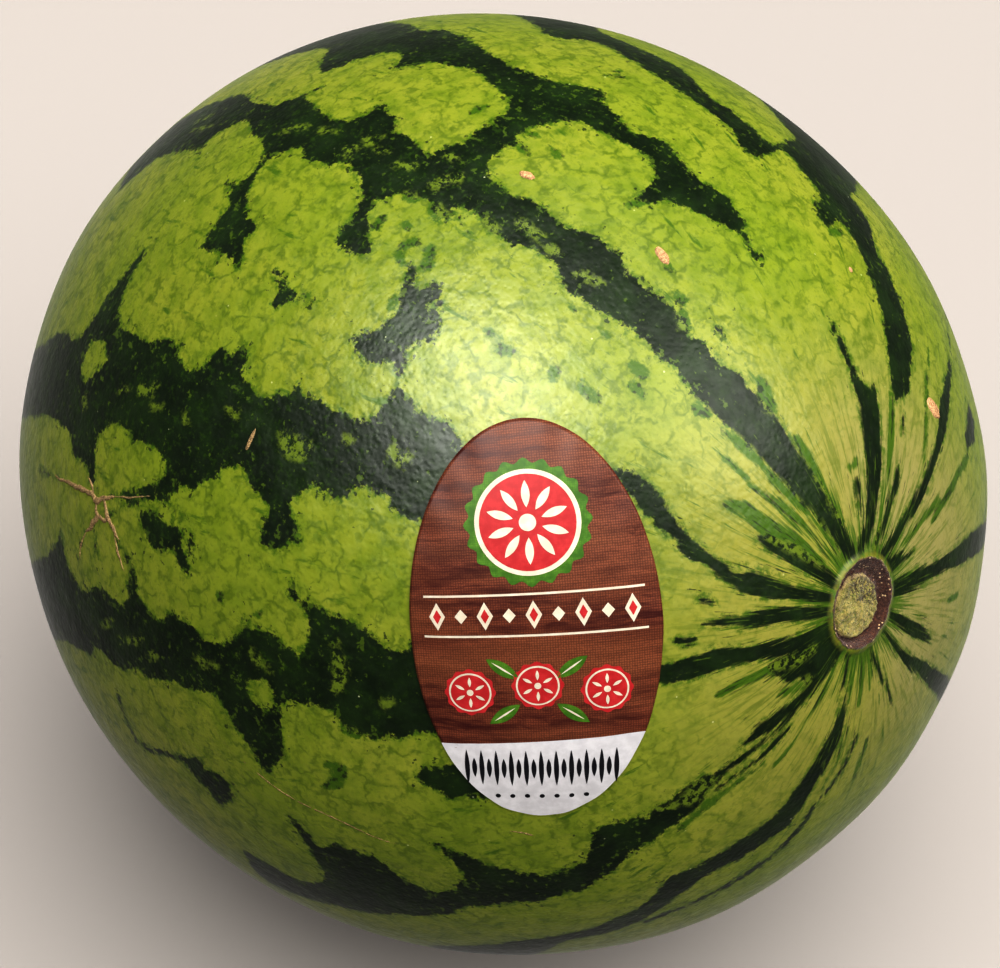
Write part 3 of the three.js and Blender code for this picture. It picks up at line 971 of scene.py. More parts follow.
class RindGraph(Graph):
    """The skin's graph, with the places and masks that its steps share. Scales are per millimetre."""

    def __init__(self):
        super().__init__("rind")
        self.place = self.millimetres()
        self.grain = self.numbers("grain")
        self.band = self.number("band")
        self.green = self.number("green")
        self.scar = self.number("scar")
        along = self.number("along")
        self.body = self.ramp(along, *SHOULDER_ENDS)
        self.shoulder = self.math("SUBTRACT", 1.0, self.body)
        self.blossomward = self.ramp(along, *BODY_MIDDLE)
        self.swing = self.edge_swing()
        self.edge = self.add(self.band, self.swing)
        on_shoulder = self.noise(self.grain, 2.3, 3, 0.6)
        self.specks = self.blend(self.body, on_shoulder, self.noise(self.place, 0.62, 3, 0.62))
        ragged = self.swung(self.noise(self.place, 1.2, 3, 0.6), SCAR_SWING)
        self.ragged = self.add(self.scar, ragged)
        self.ring = self.ramp(self.ragged, RING_EDGE - 0.2, RING_EDGE + 0.25, 1.0, 0.0)
        self.fibre = self.noise(self.place, 1.7, 5, 0.75, 1.4)

    def swung(self, value, reach):
        """A noise turned into a swing to both sides of nothing."""
        return self.times(self.add(value, -0.5), reach)

    def edge_swing(self):
        """Lumps and feathers on the body, and streaks drawn out to the stem on the shoulder."""
        lumps = self.swung(self.noise(self.place, 0.30, 4, 0.6), LUMP_SWING)
        feathers = self.swung(self.noise(self.place, 1.3, 3, 0.6), FEATHER_SWING)
        streaks = self.swung(self.noise(self.grain, 1.0, 4, 0.62), STREAK_SWING)
        return self.blend(self.body, streaks, self.add(lumps, feathers))


def vein_net(g):
    """A broken net of veins in two sizes."""
    place = g.warp(g.place, 0.42, 4.2)
    wide = g.ramp(g.cells(place, 0.19, "DISTANCE_TO_EDGE"), 0.005, 0.12, 1.0, 0.0)
    wide = g.times(wide, g.speckle(g.place, 0.30, 3, 0.6, 0.42, 0.58))
    close = g.ramp(g.cells(place, 0.40, "DISTANCE_TO_EDGE"), 0.005, 0.15, 0.7, 0.0)
    close = g.times(close, g.speckle(g.place, 0.36, 3, 0.6, 0.50, 0.64))
    return g.times(g.math("MAXIMUM", wide, close), g.blend(g.body, 0.25, 1.0))


def light_ground(g):
    """Broad patches, a fine cloud, a shoulder with painted sheen on its side away from the front, blots and
    veins.
    """
    ground = g.mix(g.speckle(g.place, 0.016, 3, 0.55, 0.35, 0.65), LIGHT_GREEN, LIGHT_GREEN_YELLOW)
    ground = g.mix(g.speckle(g.place, 0.20, 5, 0.65, 0.40, 0.68, 0.7), ground, LIGHT_GREEN_DEEP)
    # Painted sheen: the shoulder turns greyish olive on its side away from the front, standing in for the
    # gloss's haze
    sheen_side = g.ramp(g.axis(g.grain, "Y"), 0.3 * STREAKS, -0.6 * STREAKS)
    shoulder = g.mix(sheen_side, SHOULDER_GREEN, SHOULDER_PAINTED_SHEEN)
    ground = g.mix(g.times(g.shoulder, 0.85), ground, shoulder)
    blots = g.speckle(g.place, 0.50, 3, 0.6, 0.54, 0.64, 0.38)
    ground = g.mix(g.times(blots, g.body), ground, VEIN_GREEN)
    return g.mix(g.times(vein_net(g), 0.72), ground, VEIN_GREEN)


def with_streaks(g, ground):
    """Streaks that run to the stem, thin and pale on the shoulder and dark next to the scar."""
    pale = g.times(g.speckle(g.grain, 1.7, 3, 0.6, 0.50, 0.64), g.shoulder)
    ground = g.mix(g.times(pale, 0.55), ground, VEIN_GREEN)
    beside_scar = g.ramp(g.scar, 8.0, 19.0, 0.62, 0.36, "LINEAR")
    dark = g.ramp(g.math("SUBTRACT", beside_scar, g.noise(g.grain, 1.3, 4, 0.6)), -0.02, 0.07)
    return g.mix(g.times(dark, 0.85), ground, MEDIUM_GREEN)


def with_marks(g, ground):
    """Medium-green marks, a frayed fringe along the bands and dark specks outside them."""
    mark_edge = g.add(g.green, g.times(g.swing, g.blend(g.body, 1.4, 0.6)))
    marks = g.ramp(mark_edge, -0.35, 0.40, 0.95, 0.0)
    colour = g.mix(g.ramp(g.specks, 0.52, 0.62), MEDIUM_GREEN, DARK_GREEN_SOFT)
    colour = g.mix(g.ramp(g.specks, 0.42, 0.34), colour, MOTTLE_GREEN)
    ground = g.mix(marks, ground, colour)
    frayed = g.speckle(g.place, 0.8, 3, 0.65, 0.40, 0.62)
    fringe = g.times(g.ramp(g.edge, 0.1, 1.3, 0.85, 0.0), frayed)
    ground = g.mix(fringe, ground, MEDIUM_GREEN)
    fade = g.ramp(g.band, 0.0, 7.0, 0.60, 0.80, "LINEAR")
    outside = g.ramp(g.math("SUBTRACT", g.specks, fade), -0.015, 0.03)
    return g.mix(g.times(outside, 0.85), ground, DARK_GREEN_SOFT)


def dark_ground(g):
    """The dark of the bands, with flecks, light specks near its edges and mottles of medium green."""
    ground = g.mix(g.speckle(g.place, 0.12, 4, 0.6, 0.4, 0.7), DARK_GREEN, DARK_GREEN_SOFT)
    flecks = g.speckle(g.place, 0.8, 4, 0.7, 0.52, 0.68)
    flecks = g.times(flecks, g.ramp(g.blossomward, 0.0, 1.0, 0.3, 1.0))
    ground = g.mix(g.times(flecks, 0.32), ground, MEDIUM_GREEN)
    fade = g.add(g.ramp(g.band, -9.0, -0.5, 0.30, 0.40, "LINEAR"), g.times(g.blossomward, 0.015))
    inside = g.ramp(g.math("SUBTRACT", fade, g.specks), -0.01, 0.04)
    ground = g.mix(g.times(inside, 0.6), ground, MOTTLE_GREEN)
    in_mark = g.ramp(g.add(g.green, g.times(g.swing, 0.8)), -0.6, 0.8, 0.9, 0.0)
    mottle = g.speckle(g.place, 0.75, 4, 0.7, 0.44, 0.54)
    return g.mix(g.times(in_mark, mottle), ground, MOTTLE_PALE)


def with_dust(g, skin):
    """A sprinkling of pale pores."""
    dust = g.ramp(g.cells(g.place, 0.26), 0.035, 0.06, 1.0, 0.0)
    dust = g.times(dust, g.speckle(g.place, 0.12, 2, 0.5, 0.52, 0.60))
    return g.mix(g.times(dust, 0.55), skin, DUST)


def core_colour(g):
    """Straw and green fibres, with dark gaps of painted shade, more of them on the side away from the front,
    and a pale torn rim.
    """
    colour = g.mix(g.ramp(g.fibre, 0.38, 0.60), CORE_GREEN, CORE_STRAW)
    crownward = g.add(g.axis(g.grain, "X"), g.times(g.axis(g.grain, "Y"), -1.0))
    # Painted shade: dark gaps between the fibres, gathered on the side away from the front
    gaps = g.ramp(crownward, -0.4 * STREAKS, 1.3 * STREAKS, -0.03, 0.09)
    gaps = g.add(g.noise(g.place, 1.1, 4, 0.7, 2.5), gaps)
    colour = g.mix(g.ramp(gaps, 0.53, 0.62, 0.0, 0.9), colour, CORE_GAP_SHADE)
    return g.mix(g.ramp(g.scar, CORE_EDGE - 0.5, CORE_EDGE - 0.1, 0.0, 0.35), colour, SAP)


def ring_colour(g):
    """Brown cork with drops and a crust of dried sap."""
    cork = g.mix(g.speckle(g.place, 2.2, 4, 0.7, 0.40, 0.70), CORK_DARK, CORK_BROWN)
    drops = g.ramp(g.cells(g.place, 1.35), 0.16, 0.30, 1.0, 0.0)
    drops = g.times(drops, g.speckle(g.place, 0.5, 2, 0.5, 0.46, 0.56))
    crust = g.speckle(g.place, 1.6, 5, 0.8, 0.60, 0.70, 0.6)
    return g.mix(g.math("MAXIMUM", drops, crust), cork, SAP)


def with_stem_scar(g, skin):
    """An olive rim, the brown ring and the fibrous core, from the outside in."""
    rim = g.mix(g.speckle(g.place, 0.8, 4, 0.6, 0.4, 0.7), COLLAR_OLIVE, COLLAR_GREEN)
    skin = g.mix(g.ramp(g.ragged, 8.0, 9.3, 0.9, 0.0), skin, rim)
    skin = g.mix(g.ring, skin, ring_colour(g))
    torn = g.add(g.ragged, g.swung(g.fibre, CORE_SWING))
    core = g.ramp(torn, CORE_EDGE - 0.1, CORE_EDGE + 0.15, 1.0, 0.0)
    return g.mix(core, skin, core_colour(g))


def rind_relief(g):
    normal = g.bump(g.noise(g.place, 0.22, 3, 0.5), WAVE_DEPTH, 0.6)
    normal = g.bump(g.cells(g.place, 1.15, "SMOOTH_F1"), PEBBLE_DEPTH, 0.6, normal)
    return g.bump(g.times(g.fibre, g.ring), FIBRE_DEPTH, 0.9, normal)


def rind_material():
    g = RindGraph()
    light = with_marks(g, with_streaks(g, light_ground(g)))
    in_band = g.ramp(g.edge, -0.30, 0.30, 1.0, 0.0)
    skin = with_dust(g, g.mix(in_band, light, dark_ground(g)))
    skin = with_stem_scar(g, skin)
    rough = g.ramp(g.noise(g.place, 0.45, 4, 0.6), 0.3, 0.7, 0.33, 0.43)
    rough = g.blend(g.ring, rough, 0.85)
    gloss = {"Specular_IOR_Level": 0.30, "Sheen_Weight": 0.12, "Sheen_Roughness": 0.35}
    return g.finish(skin, rough, rind_relief(g), **gloss)


FLOOR_DARK = (0.188, 0.179, 0.171)
FLOOR_LIGHT = (0.193, 0.184, 0.176)


def floor_material():
    g = Graph("floor")
    place = g.made("ShaderNodeTexCoord", {}, "Object")
    cloud = g.noise(place, 3.0, 3, 0.5)
    colour = g.mix(cloud, FLOOR_DARK, FLOOR_LIGHT)
    return g.finish(colour, 0.75, None, Specular_IOR_Level=0.2)


# Label colours: two tones of each print, and how strong its screen of dots is
LABEL_PRINTS = {
    "label_white": ((0.27, 0.27, 0.28), (0.31, 0.31, 0.32), 0.0),
    "label_cream": ((0.28, 0.255, 0.21), (0.33, 0.31, 0.26), 0.15),
    "label_red": ((0.20, 0.014, 0.016), (0.25, 0.022, 0.024), 0.25),
    "label_green": ((0.028, 0.075, 0.008), (0.060, 0.13, 0.014), 0.35),
    "label_ink": ((0.006, 0.006, 0.008), (0.010, 0.010, 0.012), 0.0),
}
WOOD_DARK = (0.034, 0.009, 0.007)
WOOD_LIGHT = (0.115, 0.038, 0.019)
WOOD_WARM = (0.165, 0.068, 0.030)
WOOD_GRAIN = (0.020, 0.004, 0.004)
WOOD_DOTS = (0.020, 0.003, 0.004)


def print_material(name, dark, light, dots):
    """Glossy printed paper: two tones, a fine screen of dots and a faint paper grain."""
    g = Graph(name)
    place = g.numbers("label_place")
    cloud = g.noise(place, 0.5, 4, 0.6)
    colour = g.mix(g.ramp(cloud, 0.35, 0.7), dark, light)
    screen = g.ramp(g.cells(place, 2.6, randomness=0.15), 0.25, 0.5)
    colour = g.mix(g.times(screen, dots), colour, dark)
    grain = g.noise(place, 6.0, 3, 0.6)
    normal = g.bump(grain, PAPER_DEPTH, 0.4)
    return g.finish(colour, g.ramp(cloud, 0.3, 0.7, 0.36, 0.44), normal, Specular_IOR_Level=0.15)


def wood_print_material():
    """The label's ground: printed brown boards with a long grain, knots and a fine screen of dots."""
    g = Graph("label_wood_print")
    place = g.numbers("label_place")
    grain_place = g.vector("MULTIPLY", g.warp(place, 0.10, 3.2), (0.055, 0.75, 1.0))
    grain = g.noise(grain_place, 1.0, 6, 0.68, 0.3)
    fine = g.noise(g.vector("MULTIPLY", place, (0.25, 3.4, 1.0)), 1.0, 4, 0.7)
    broad = g.noise(g.vector("MULTIPLY", place, (0.02, 0.09, 1.0)), 1.0, 2, 0.5)
    colour = g.mix(g.ramp(grain, 0.34, 0.66), WOOD_DARK, WOOD_LIGHT)
    colour = g.mix(g.ramp(broad, 0.35, 0.65, 0.0, 0.6), colour, WOOD_WARM)
    colour = g.mix(g.ramp(fine, 0.52, 0.75, 0.0, 0.5), colour, WOOD_GRAIN)
    screen = g.ramp(g.cells(place, 2.3, randomness=0.2), 0.22, 0.5)
    colour = g.mix(g.times(screen, 0.5), colour, WOOD_DOTS)
    paper = g.noise(place, 6.0, 3, 0.6)
    normal = g.bump(paper, PAPER_DEPTH, 0.4)
    return g.finish(colour, g.ramp(grain, 0.3, 0.7, 0.36, 0.44), normal, Specular_IOR_Level=0.15)


def label_materials():
    prints = [print_material(name, *tones) for name, tones in LABEL_PRINTS.items()]
    return [wood_print_material(), *prints]


def cork_material(name, dark, light):
    """Healed cork: fibrous, cracked and dull."""
    g = Graph(name)
    place = g.millimetres()
    fibre = g.noise(place, 2.4, 5, 0.7, 0.8)
    pits = g.cells(place, 2.2)
    colour = g.mix(g.ramp(fibre, 0.32, 0.68), dark, light)
    colour = g.mix(g.ramp(pits, 0.05, 0.25, 0.45, 0.0), colour, dark)
    normal = g.bump(g.add(fibre, g.times(pits, 0.5)), CORK_DEPTH, 0.8)
    return g.finish(colour, g.ramp(fibre, 0.3, 0.7, 0.62, 0.82), normal, Specular_IOR_Level=0.3)


def turned_axes(from_stem, round_fruit, turn):
    """The outward direction at a place, and the one to the blossom end, turned about it by some degrees."""
    out = direction(from_stem, round_fruit)
    meridian = direction(from_stem + 90, round_fruit)
    along = Matrix.Rotation(math.radians(turn), 3, Vector(out)) @ Vector(meridian)
    return out, np.array(along)


LABEL_OUT, LABEL_UP = turned_axes(*LABEL_PLACE, LABEL_TURN)
LABEL_RIGHT = np.cross(LABEL_UP, LABEL_OUT)
LABEL_REACH = float(skin_reach(*LABEL_PLACE))


def over_label(right, up, rise):
    """Points over the skin, from distances to the right and up from the label's middle."""
    right = np.asarray(right, float)
    up = np.asarray(up, float)
    bend = np.hypot(right, up) / LABEL_REACH
    side = right[..., None] * LABEL_RIGHT + up[..., None] * LABEL_UP
    side = side / np.maximum(np.linalg.norm(side, axis=-1, keepdims=True), 1e-9)
    heading = side * np.sin(bend)[..., None] + LABEL_OUT * np.cos(bend)[..., None]
    return skin_point(*place_of(heading), rise) + MIDDLE


def label_rise(right, up):
    """Rise of the paper over the skin: level in the middle, lower and a little puckered at the rim."""
    height = up / (LABEL_HEIGHT / 2)
    half_width = LABEL_WIDTH / 2 * (1 + LABEL_EGG * height)
    reach = np.hypot(right / half_width, height)
    turn = np.arctan2(up / LABEL_HEIGHT, right / LABEL_WIDTH)
    rim = smooth_step(LABEL_RIM_FROM, 1.0, reach)
    pucker = np.sin(9 * turn + 0.8) * np.sin(4 * turn + 2.1) + 0.6 * np.sin(23 * turn + 1.3)
    return LABEL_RISE + rim * (LABEL_PUCKER * pucker - LABEL_EDGE_RISE)


def label_outline(count):
    turn = np.linspace(0, 2 * math.pi, count, endpoint=False)
    up = np.sin(turn) * LABEL_HEIGHT / 2
    right = np.cos(turn) * (1 + LABEL_EGG * np.sin(turn)) * LABEL_WIDTH / 2
    return np.stack([right, up], axis=-1)


PRINT_STEP = 0.035
PAPER, WHITE, CREAM, RED, GREEN, INK = range(6)


class Sheet:
    """Gathers the printed shapes of the label as one mesh, each with its own material."""

    def __init__(self):
        self.points = []
        self.places = []
        self.faces = []
        self.inks = []

    def add(self, flat, faces, level, ink, drop=0.0):
        flat = np.asarray(flat, float)
        start = sum(len(part) for part in self.points)
        rise = label_rise(flat[:, 0], flat[:, 1]) + level * PRINT_STEP - drop
        self.points.append(over_label(flat[:, 0], flat[:, 1], rise))
        self.places.append(np.column_stack([flat, np.zeros(len(flat))]))
        self.faces += [tuple(start + i for i in face) for face in faces]
        self.inks += [ink] * len(faces)

    def shape(self, outline, level, ink, rings=6):
        """A filled outline that can be seen whole from its middle."""
        outline = np.asarray(outline, float)
        centre = outline.mean(0)
        count = len(outline)
        flat = np.concatenate([centre + (outline - centre) * ring / rings for ring in range(1, rings + 1)])
        faces = ring_faces(rings, count) + fan_faces(len(flat), 0, count)
        self.add(np.concatenate([flat, [centre]]), faces, level, ink)

    def strip(self, line, width, level, ink):
        """A narrow band along a line, cut square at its ends."""
        line = np.asarray(line, float)
        along = np.gradient(line, axis=0)
        along = along / np.linalg.norm(along, axis=1, keepdims=True)
        side = np.column_stack([-along[:, 1], along[:, 0]]) * width / 2
        flat = np.concatenate([line - side, line + side])
        count = len(line)
        faces = [(i, i + 1, count + i + 1, count + i) for i in range(count - 1)]
        self.add(flat, faces, level, ink)


def circle(right, up, radius, count=48, waves=0, depth=0.0):
    turn = np.linspace(0, 2 * math.pi, count, endpoint=False)
    reach = radius * (1 + depth * np.cos(waves * turn))
    return np.stack([right + reach * np.cos(turn), up + reach * np.sin(turn)], axis=-1)


def leaf(right, up, length, width, turn):
    """A lens with two pointed ends."""
    along = np.linspace(-1, 1, 17)
    side = (1 - along**2) * width / 2
    outline = np.concatenate([
        np.column_stack([along * length / 2, -side])[:-1],
        np.column_stack([along * length / 2, side])[::-1][:-1],
    ])
    angle = math.radians(turn)
    spin = np.array([[math.cos(angle), math.sin(angle)], [-math.sin(angle), math.cos(angle)]])
    return outline @ spin + [right, up]


# The white foot of the label and its fringe of pointed strokes
FOOT_LEFT = -20.6
FOOT_RIGHT = -18.8
FRINGE_UP = -25.6
FRINGE_HALF = 13.0
FRINGE_STEP = 1.3
FRINGE_TALL = 7.6
FRINGE_SHORT = 4.2
FRINGE_WIDTH = 0.85
DOTS_UP = FRINGE_UP - 6.2
DOTS_HALF = 7.8
DOT_RADIUS = 0.45

# Ornaments on the boards
SUN_UP = 19.2
SUN_RADIUS = 10.4
SUN_PETALS = 10
ROW_UP = 3.6
ROW_STEP = 4.1
ROW_LINES = ((3.6, 18.6), (-3.6, 18.9))
ROW_LINE_WIDTH = 0.42
BIG_LOZENGE = (1.4, 2.5)
SMALL_LOZENGE = (1.1, 1.3)
GARLAND_UP = -10.4
GARLAND_STEP = 11.6
GARLAND_ARCH = 1.2
BUD_RADIUS = 4.3
LEAF_TURN = 35
LEAF_LIFTS = (4.4, -4.2)
LEAF_SIZE = (6.6, 2.4)
LEAF_RIB = (4.6, 0.36)


def foot_outline():
    rim = label_outline(240)
    level = FOOT_LEFT + (FOOT_RIGHT - FOOT_LEFT) * (rim[:, 0] / LABEL_WIDTH + 0.5)
    low = rim[rim[:, 1] < level]
    start = low[0]
    end = low[-1]
    top = end + (start - end) * np.linspace(0, 1, 26)[1:-1, None]
    return np.concatenate([low, top])


def print_fringe(sheet):
    """Slim black lenses, tall and short by turns, and a dotted line under them."""
    for i, right in enumerate(np.arange(-FRINGE_HALF, FRINGE_HALF + 0.1, FRINGE_STEP)):
        tall = FRINGE_TALL if i % 2 == 0 else FRINGE_SHORT
        sheet.shape(leaf(right, FRINGE_UP, tall, FRINGE_WIDTH, 90), 2, INK, 3)
    for right in np.arange(-DOTS_HALF, DOTS_HALF + 0.1, 2 * FRINGE_STEP):
        sheet.shape(circle(right, DOTS_UP, DOT_RADIUS, 16), 2, INK, 2)


# Parts of a rosette, as shares of its radius
SCALLOP = 0.045
PALE_RING = 0.86
RED_DISC = 0.78
PETAL_REACH = 0.46
PETAL_SIZE = (0.44, 0.14)
EYE = 0.14


def print_rosette(sheet, right, up, radius, petals, edge):
    """A scalloped disc with a pale ring and petals round a pale middle."""
    sheet.shape(circle(right, up, radius, 12 * petals, 2 * petals, SCALLOP), 1, edge)
    sheet.shape(circle(right, up, radius * PALE_RING, 72), 2, CREAM)
    sheet.shape(circle(right, up, radius * RED_DISC, 72), 3, RED)
    reach = radius * PETAL_REACH
    length, width = (radius * share for share in PETAL_SIZE)
    for i in range(petals):
        turn = math.tau * (i + 0.5) / petals
        middle = (right + reach * math.cos(turn), up + reach * math.sin(turn))
        sheet.shape(leaf(*middle, length, width, math.degrees(turn)), 4, CREAM, 3)
    sheet.shape(circle(right, up, radius * EYE, 32), 4, CREAM, 3)


def print_row(sheet):
    """A row of lozenges between two lines."""
    for up, half in ROW_LINES:
        line = np.column_stack([np.linspace(-half, half, 60), np.full(60, ROW_UP + up)])
        sheet.strip(line, ROW_LINE_WIDTH, 1, CREAM)
    for i in range(-4, 5):
        right = ROW_STEP * i
        half_width, half_height = BIG_LOZENGE if i % 2 == 0 else SMALL_LOZENGE
        sheet.shape(lozenge(right, ROW_UP, half_width, half_height), 1, CREAM, 3)
        if i % 2 == 0:
            sheet.shape(lozenge(right, ROW_UP, half_width / 2, half_height / 2), 2, RED, 3)


def print_motifs(sheet):
    """Plain ornaments: a sun over a row of lozenges, and a garland of rosettes between leaves."""
    print_rosette(sheet, 0.0, SUN_UP, SUN_RADIUS, SUN_PETALS, GREEN)
    print_row(sheet)
    for i in (-1, 0, 1):
        arch = GARLAND_ARCH if i == 0 else 0
        print_rosette(sheet, GARLAND_STEP * i, GARLAND_UP + arch, BUD_RADIUS, 6, RED)
    for i in (-1, 1):
        middle = GARLAND_STEP * i / 2
        for lift, turn in zip(LEAF_LIFTS, (LEAF_TURN * i, -LEAF_TURN * i)):
            sheet.shape(leaf(middle, GARLAND_UP + lift, *LEAF_SIZE, turn), 1, GREEN, 4)
            sheet.shape(leaf(middle, GARLAND_UP + lift, *LEAF_RIB, turn), 2, CREAM, 3)


def lozenge(right, up, half_width, half_height, steps=4):
    corners = np.array([(-half_width, 0), (0, -half_height), (half_width, 0), (0, half_height)])
    share = np.linspace(0, 1, steps, endpoint=False)[:, None]
    sides = [a + (b - a) * share for a, b in zip(corners, np.roll(corners, -1, axis=0))]
    return np.concatenate(sides) + [right, up]


def build_label(materials):
    sheet = Sheet()
    outline = label_outline(LABEL_COLUMNS)
    level = [outline * ring / LABEL_RINGS for ring in range(1, LABEL_RINGS + 1)]
    flat = np.concatenate(level + [outline])
    drop = np.zeros(len(flat) + 1)
    drop[-LABEL_COLUMNS - 1:-1] = LABEL_THICKNESS
    faces = ring_faces(LABEL_RINGS + 1, LABEL_COLUMNS) + fan_faces(len(flat), 0, LABEL_COLUMNS)
    sheet.add(np.concatenate([flat, [[0, 0]]]), faces, 0, PAPER, drop)
    sheet.shape(foot_outline(), 1, WHITE, 14)
    print_fringe(sheet)
    print_motifs(sheet)
    thing = new_object("oval_label", np.concatenate(sheet.points), sheet.faces, None)
    for material in materials:
        thing.data.materials.append(material)
    thing.data.polygons.foreach_set("material_index", sheet.inks)
    add_vectors(thing, "label_place", np.concatenate(sheet.places))
    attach(thing, BODY)
    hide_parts("label")
    return thing


# Arms and fine branches of the healed star scar, and the growth cracks: places on the skin, width and rise
STAR_ARMS = [
    ([(95, 63.1), (89.2, 63.1), (85.1, 63.2), (83.9, 63.6), (82.3, 63), (80.4, 62.5)], 1.2, 0.36),
    ([(83.9, 63.5), (84.1, 64.8), (83.8, 65.4), (85.1, 66.8), (86.3, 67.7)], 1.2, 0.36),
    ([(84, 65.3), (82.6, 65.5), (81.2, 65.1)], 1.0, 0.3),
    ([(82.5, 62.9), (82, 64.1), (81.2, 65.3), (80.4, 66.1), (79.3, 67.1)], 1.1, 0.36),
    ([(84.6, 63.3), (85.2, 62.2), (86.4, 61.4)], 0.55, 0.2),
    ([(80.4, 66.1), (79.6, 68.4), (78.4, 70.6)], 0.6, 0.2),
    ([(86.3, 67.7), (87.6, 69.4), (88.2, 71.4)], 0.5, 0.18),
    ([(81.0, 62.6), (77.4, 62.0), (72.7, 60.8)], 0.4, 0.14),
]
CRACKS = [
    (
        [(65.4, 91.3), (63.7, 93.2), (61.9, 95.2), (59.9, 96.9), (56.1, 99.8), (52.9, 103.2), (50.8, 104.9)],
        0.42,
        0.12,
    ),
    ([(39.5, 106.3), (38.4, 107.6), (37.5, 109.1)], 0.4, 0.12),
]
# Corky scabs: place, length, width, the turn of the length from the stem-to-blossom line, and rise
SCABS = [
    ((51.7, 8.7), 3.2, 1.7, 15, 0.34),
    ((37.1, 3.9), 4.0, 2.0, -10, 0.34),
    ((21.2, 299.5), 5.2, 3.0, 80, 0.34),
    ((31.7, 326.8), 1.3, 1.0, 0, 0.2),
]
# A slit scab on the belt, as grey as the star scar
SLIT = ((62.0, 51.9), 4.6, 0.9, 78, 0.14)
# Tones of the healed cork
STAR_CORK = ((0.085, 0.055, 0.022), (0.22, 0.155, 0.075))
SCAB_CORK = ((0.16, 0.09, 0.040), (0.36, 0.235, 0.13))


# Sides of a ridge's half round, and the depth of its rims under the skin
RIDGE_SIDES = 7
SUNK = 0.06
# The same for a scab: columns and rings of its dome, and the depth of its rim
SCAB_COLUMNS = 28
SCAB_RINGS = 7
SCAB_SUNK = 0.1


def smooth_line(places, steps):
    """A Catmull-Rom line through places on the skin."""
    knots = skin_point(*np.array(places, float).T)
    knots = np.concatenate([[2 * knots[0] - knots[1]], knots, [2 * knots[-1] - knots[-2]]])
    line = []
    for a, b, c, d in zip(knots[:-3], knots[1:-2], knots[2:-1], knots[3:]):
        bend = 2 * a - 5 * b + 4 * c - d
        twist = 3 * b - a - 3 * c + d
        for t in np.linspace(0, 1, steps, endpoint=False):
            line.append(b + ((c - a) * t + bend * t**2 + twist * t**3) / 2)
    line.append(knots[-2])
    return np.array(line)


def build_ridge(name, places, width, rise, material, beads=0.0):
    line = smooth_line(places, 14)
    out = unit(line)
    across = unit(np.cross(np.gradient(line, axis=0), out))
    share = np.linspace(0, 1, len(line))
    full = 0.25 + 0.75 * np.sin(np.pi * share) ** 0.5
    knobs = 1 + 0.45 * lumps(line, 1.1, 8) + beads * lumps(line, 0.7, 9)
    sway = lumps(line, 1.6, 10)[:, None] * width * 0.35
    rows = []
    for turn in np.linspace(0, math.pi, RIDGE_SIDES):
        aside = across * (math.cos(turn) * width / 2 * full * knobs)[:, None]
        lift = out * (math.sin(turn) * rise * full * knobs - SUNK)[:, None]
        rows.append(line + aside + across * sway + lift)
    points = np.stack(rows, axis=1).reshape(-1, 3) + MIDDLE
    faces = []
    for ring in range(len(line) - 1):
        for i in range(RIDGE_SIDES - 1):
            a = ring * RIDGE_SIDES + i
            faces.append((a, a + 1, a + RIDGE_SIDES + 1, a + RIDGE_SIDES))
    thing = new_object(name, points, faces, material)
    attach(thing, BODY)
    return thing


def build_scab(name, place, length, width, turn, rise, material):
    out, along = turned_axes(*place, turn)
    across = np.cross(out, along)
    centre = skin_point(*place)
    angle = np.linspace(0, 2 * math.pi, SCAB_COLUMNS, endpoint=False)
    points = []
    for ring in range(SCAB_RINGS, 0, -1):
        share = ring / SCAB_RINGS
        egg = 1 + 0.16 * np.cos(angle) + 0.05 * np.sin(5 * angle + length)
        flat = (
            along * (np.cos(angle) * length / 2 * share * egg)[:, None]
            + across * (np.sin(angle) * width / 2 * share * egg)[:, None]
        )
        height = rise * math.sqrt(1 - share**2) if ring < SCAB_RINGS else -SCAB_SUNK
        heading = centre + flat
        reach = skin_reach(*place_of(heading)) + height
        points.append(unit(heading) * reach[:, None])
    points = np.concatenate(points + [[unit(centre) * (np.linalg.norm(centre) + rise)]]) + MIDDLE
    last = len(points) - 1
    faces = ring_faces(SCAB_RINGS, SCAB_COLUMNS)
    faces += fan_faces(last, last - SCAB_COLUMNS, SCAB_COLUMNS, turned=True)
    thing = new_object(name, points, faces, material)
    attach(thing, BODY)
    return thing


def build_marks(cork, scab):
    for i, (places, width, rise) in enumerate(STAR_ARMS):
        build_ridge(f"star_scar_{i + 1}", places, width, rise, cork)
    for i, (places, width, rise) in enumerate(CRACKS):
        build_ridge(f"growth_crack_{i + 1}", places, width, rise, cork, beads=0.8)
    for i, (place, length, width, turn, rise) in enumerate(SCABS):
        build_scab(f"scab_{i + 1}", place, length, width, turn, rise, scab)
    build_scab("slit_scab", *SLIT, cork)


FLOOR_REACH = 20000.0


def build_floor(material):
    corners = [(x * FLOOR_REACH, y * FLOOR_REACH, 0) for x, y in ((-1, -1), (1, -1), (1, 1), (-1, 1))]
    floor = new_object("floor", corners, [(0, 1, 2, 3)], material, smooth=False)
    floor.visible_glossy = False


# Light: the sky's brightest place and how it fades, and each lamp's aim, distance and size in metres, power
# and colour
SKY_AIM = (97, 71)
SKY_EDGE = 0.55
SKY_DIM = 0.1
SKY_BRIGHT = 12.6
SKY_COLOUR = (1.0, 0.965, 0.93, 1)
LAMPS = {
    "near_lamp": ((22, 64), 1.5, 1.1, 72, (1.0, 0.98, 0.96)),
    "side_lamp": ((112, 45), 1.6, 1.0, 26, (1.0, 0.97, 0.94)),
}
TONE_GAMMA = 0.68


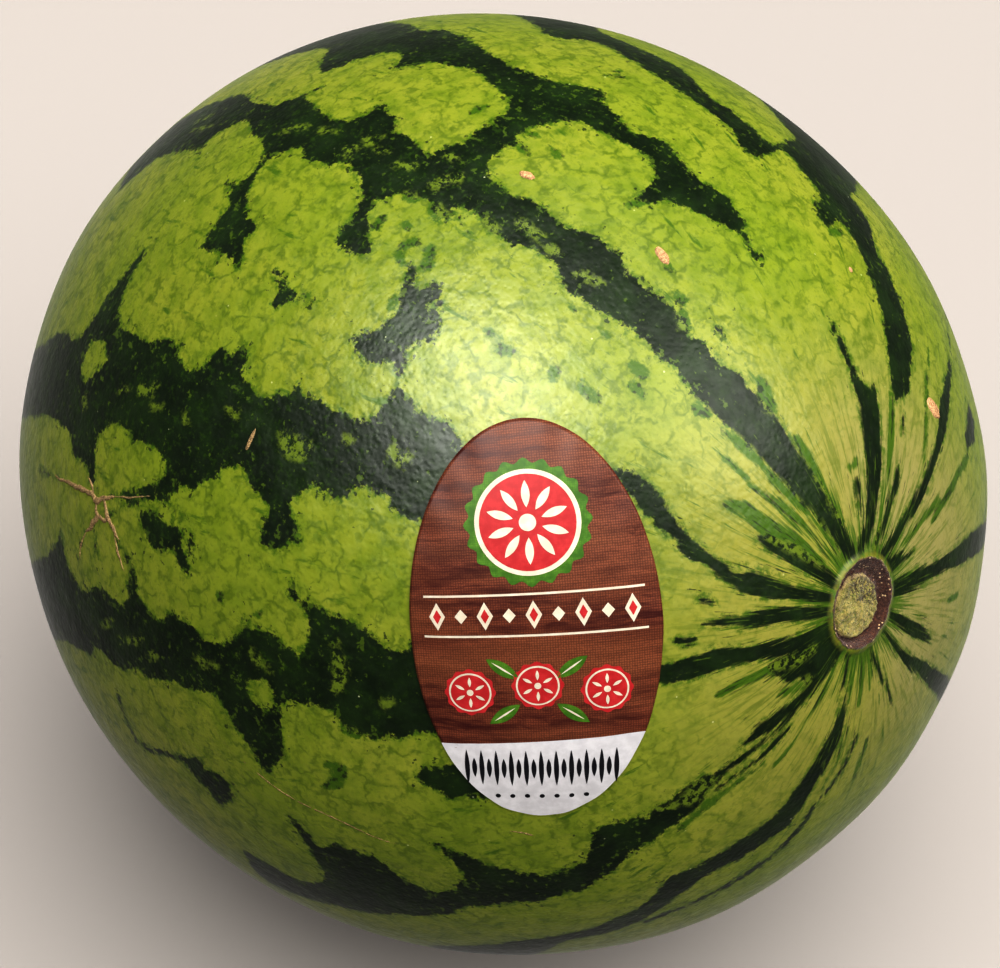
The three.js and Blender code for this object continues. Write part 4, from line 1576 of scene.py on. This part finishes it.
def glare_light(name, heading, distance, size, power, colour):
    """A lamp that shows in the gloss of the skin and leaves the shading to the sky."""
    data = bpy.data.lights.new(name, "AREA")
    data.shape = "DISK"
    data.size = size
    data.energy = power
    data.color = colour
    lamp = bpy.data.objects.new(name, data)
    towards = Vector(aim(*heading))
    lamp.location = towards * distance + Vector(MIDDLE * MM)
    lamp.rotation_euler = towards.to_track_quat("Z", "Y").to_euler()
    lamp.visible_diffuse = False
    bpy.context.scene.collection.objects.link(lamp)


def soft_sky():
    """A soft light from above that leans to the stem's side and fades towards the horizon."""
    world = bpy.data.worlds.new("studio")
    world.use_nodes = True
    tree = world.node_tree
    heading = tree.nodes.new("ShaderNodeTexCoord")
    towards = tree.nodes.new("ShaderNodeVectorMath")
    towards.operation = "DOT_PRODUCT"
    towards.inputs[1].default_value = aim(*SKY_AIM)
    strength = tree.nodes.new("ShaderNodeMapRange")
    strength.interpolation_type = "SMOOTHSTEP"
    settings = {"From Min": SKY_EDGE, "From Max": 1.0, "To Min": SKY_DIM, "To Max": SKY_BRIGHT}
    for name, value in settings.items():
        strength.inputs[name].default_value = value
    background = tree.nodes["Background"]
    background.inputs["Color"].default_value = SKY_COLOUR
    tree.links.new(heading.outputs["Generated"], towards.inputs[0])
    tree.links.new(towards.outputs["Value"], strength.inputs["Value"])
    tree.links.new(strength.outputs["Result"], background.inputs["Strength"])
    bpy.context.scene.world = world
    world.cycles_visibility.glossy = False


def build_lights():
    for name, settings in LAMPS.items():
        glare_light(name, *settings)
    soft_sky()
    bpy.context.scene.view_settings.view_transform = "Standard"
    bpy.context.scene.view_settings.gamma = TONE_GAMMA


def build_camera():
    data = bpy.data.cameras.new("camera")
    data.sensor_fit = "HORIZONTAL"
    data.sensor_width = SENSOR_WIDTH
    data.lens = VIEW_PIXELS / PHOTO_WIDTH * SENSOR_WIDTH
    data.clip_start = 0.01
    camera = bpy.data.objects.new("camera", data)
    axes = np.eye(4)
    axes[:3, 0] = VIEW_RIGHT
    axes[:3, 1] = VIEW_UP
    axes[:3, 2] = -VIEW_FORWARD
    axes[:3, 3] = (CAMERA + MIDDLE) * MM
    camera.matrix_world = Matrix(axes.tolist())
    bpy.context.scene.collection.objects.link(camera)
    bpy.context.scene.camera = camera


build_fruit(rind_material())
build_label(label_materials())
build_marks(cork_material("star_cork", *STAR_CORK), cork_material("scab_cork", *SCAB_CORK))
build_floor(floor_material())
build_lights()
build_camera()
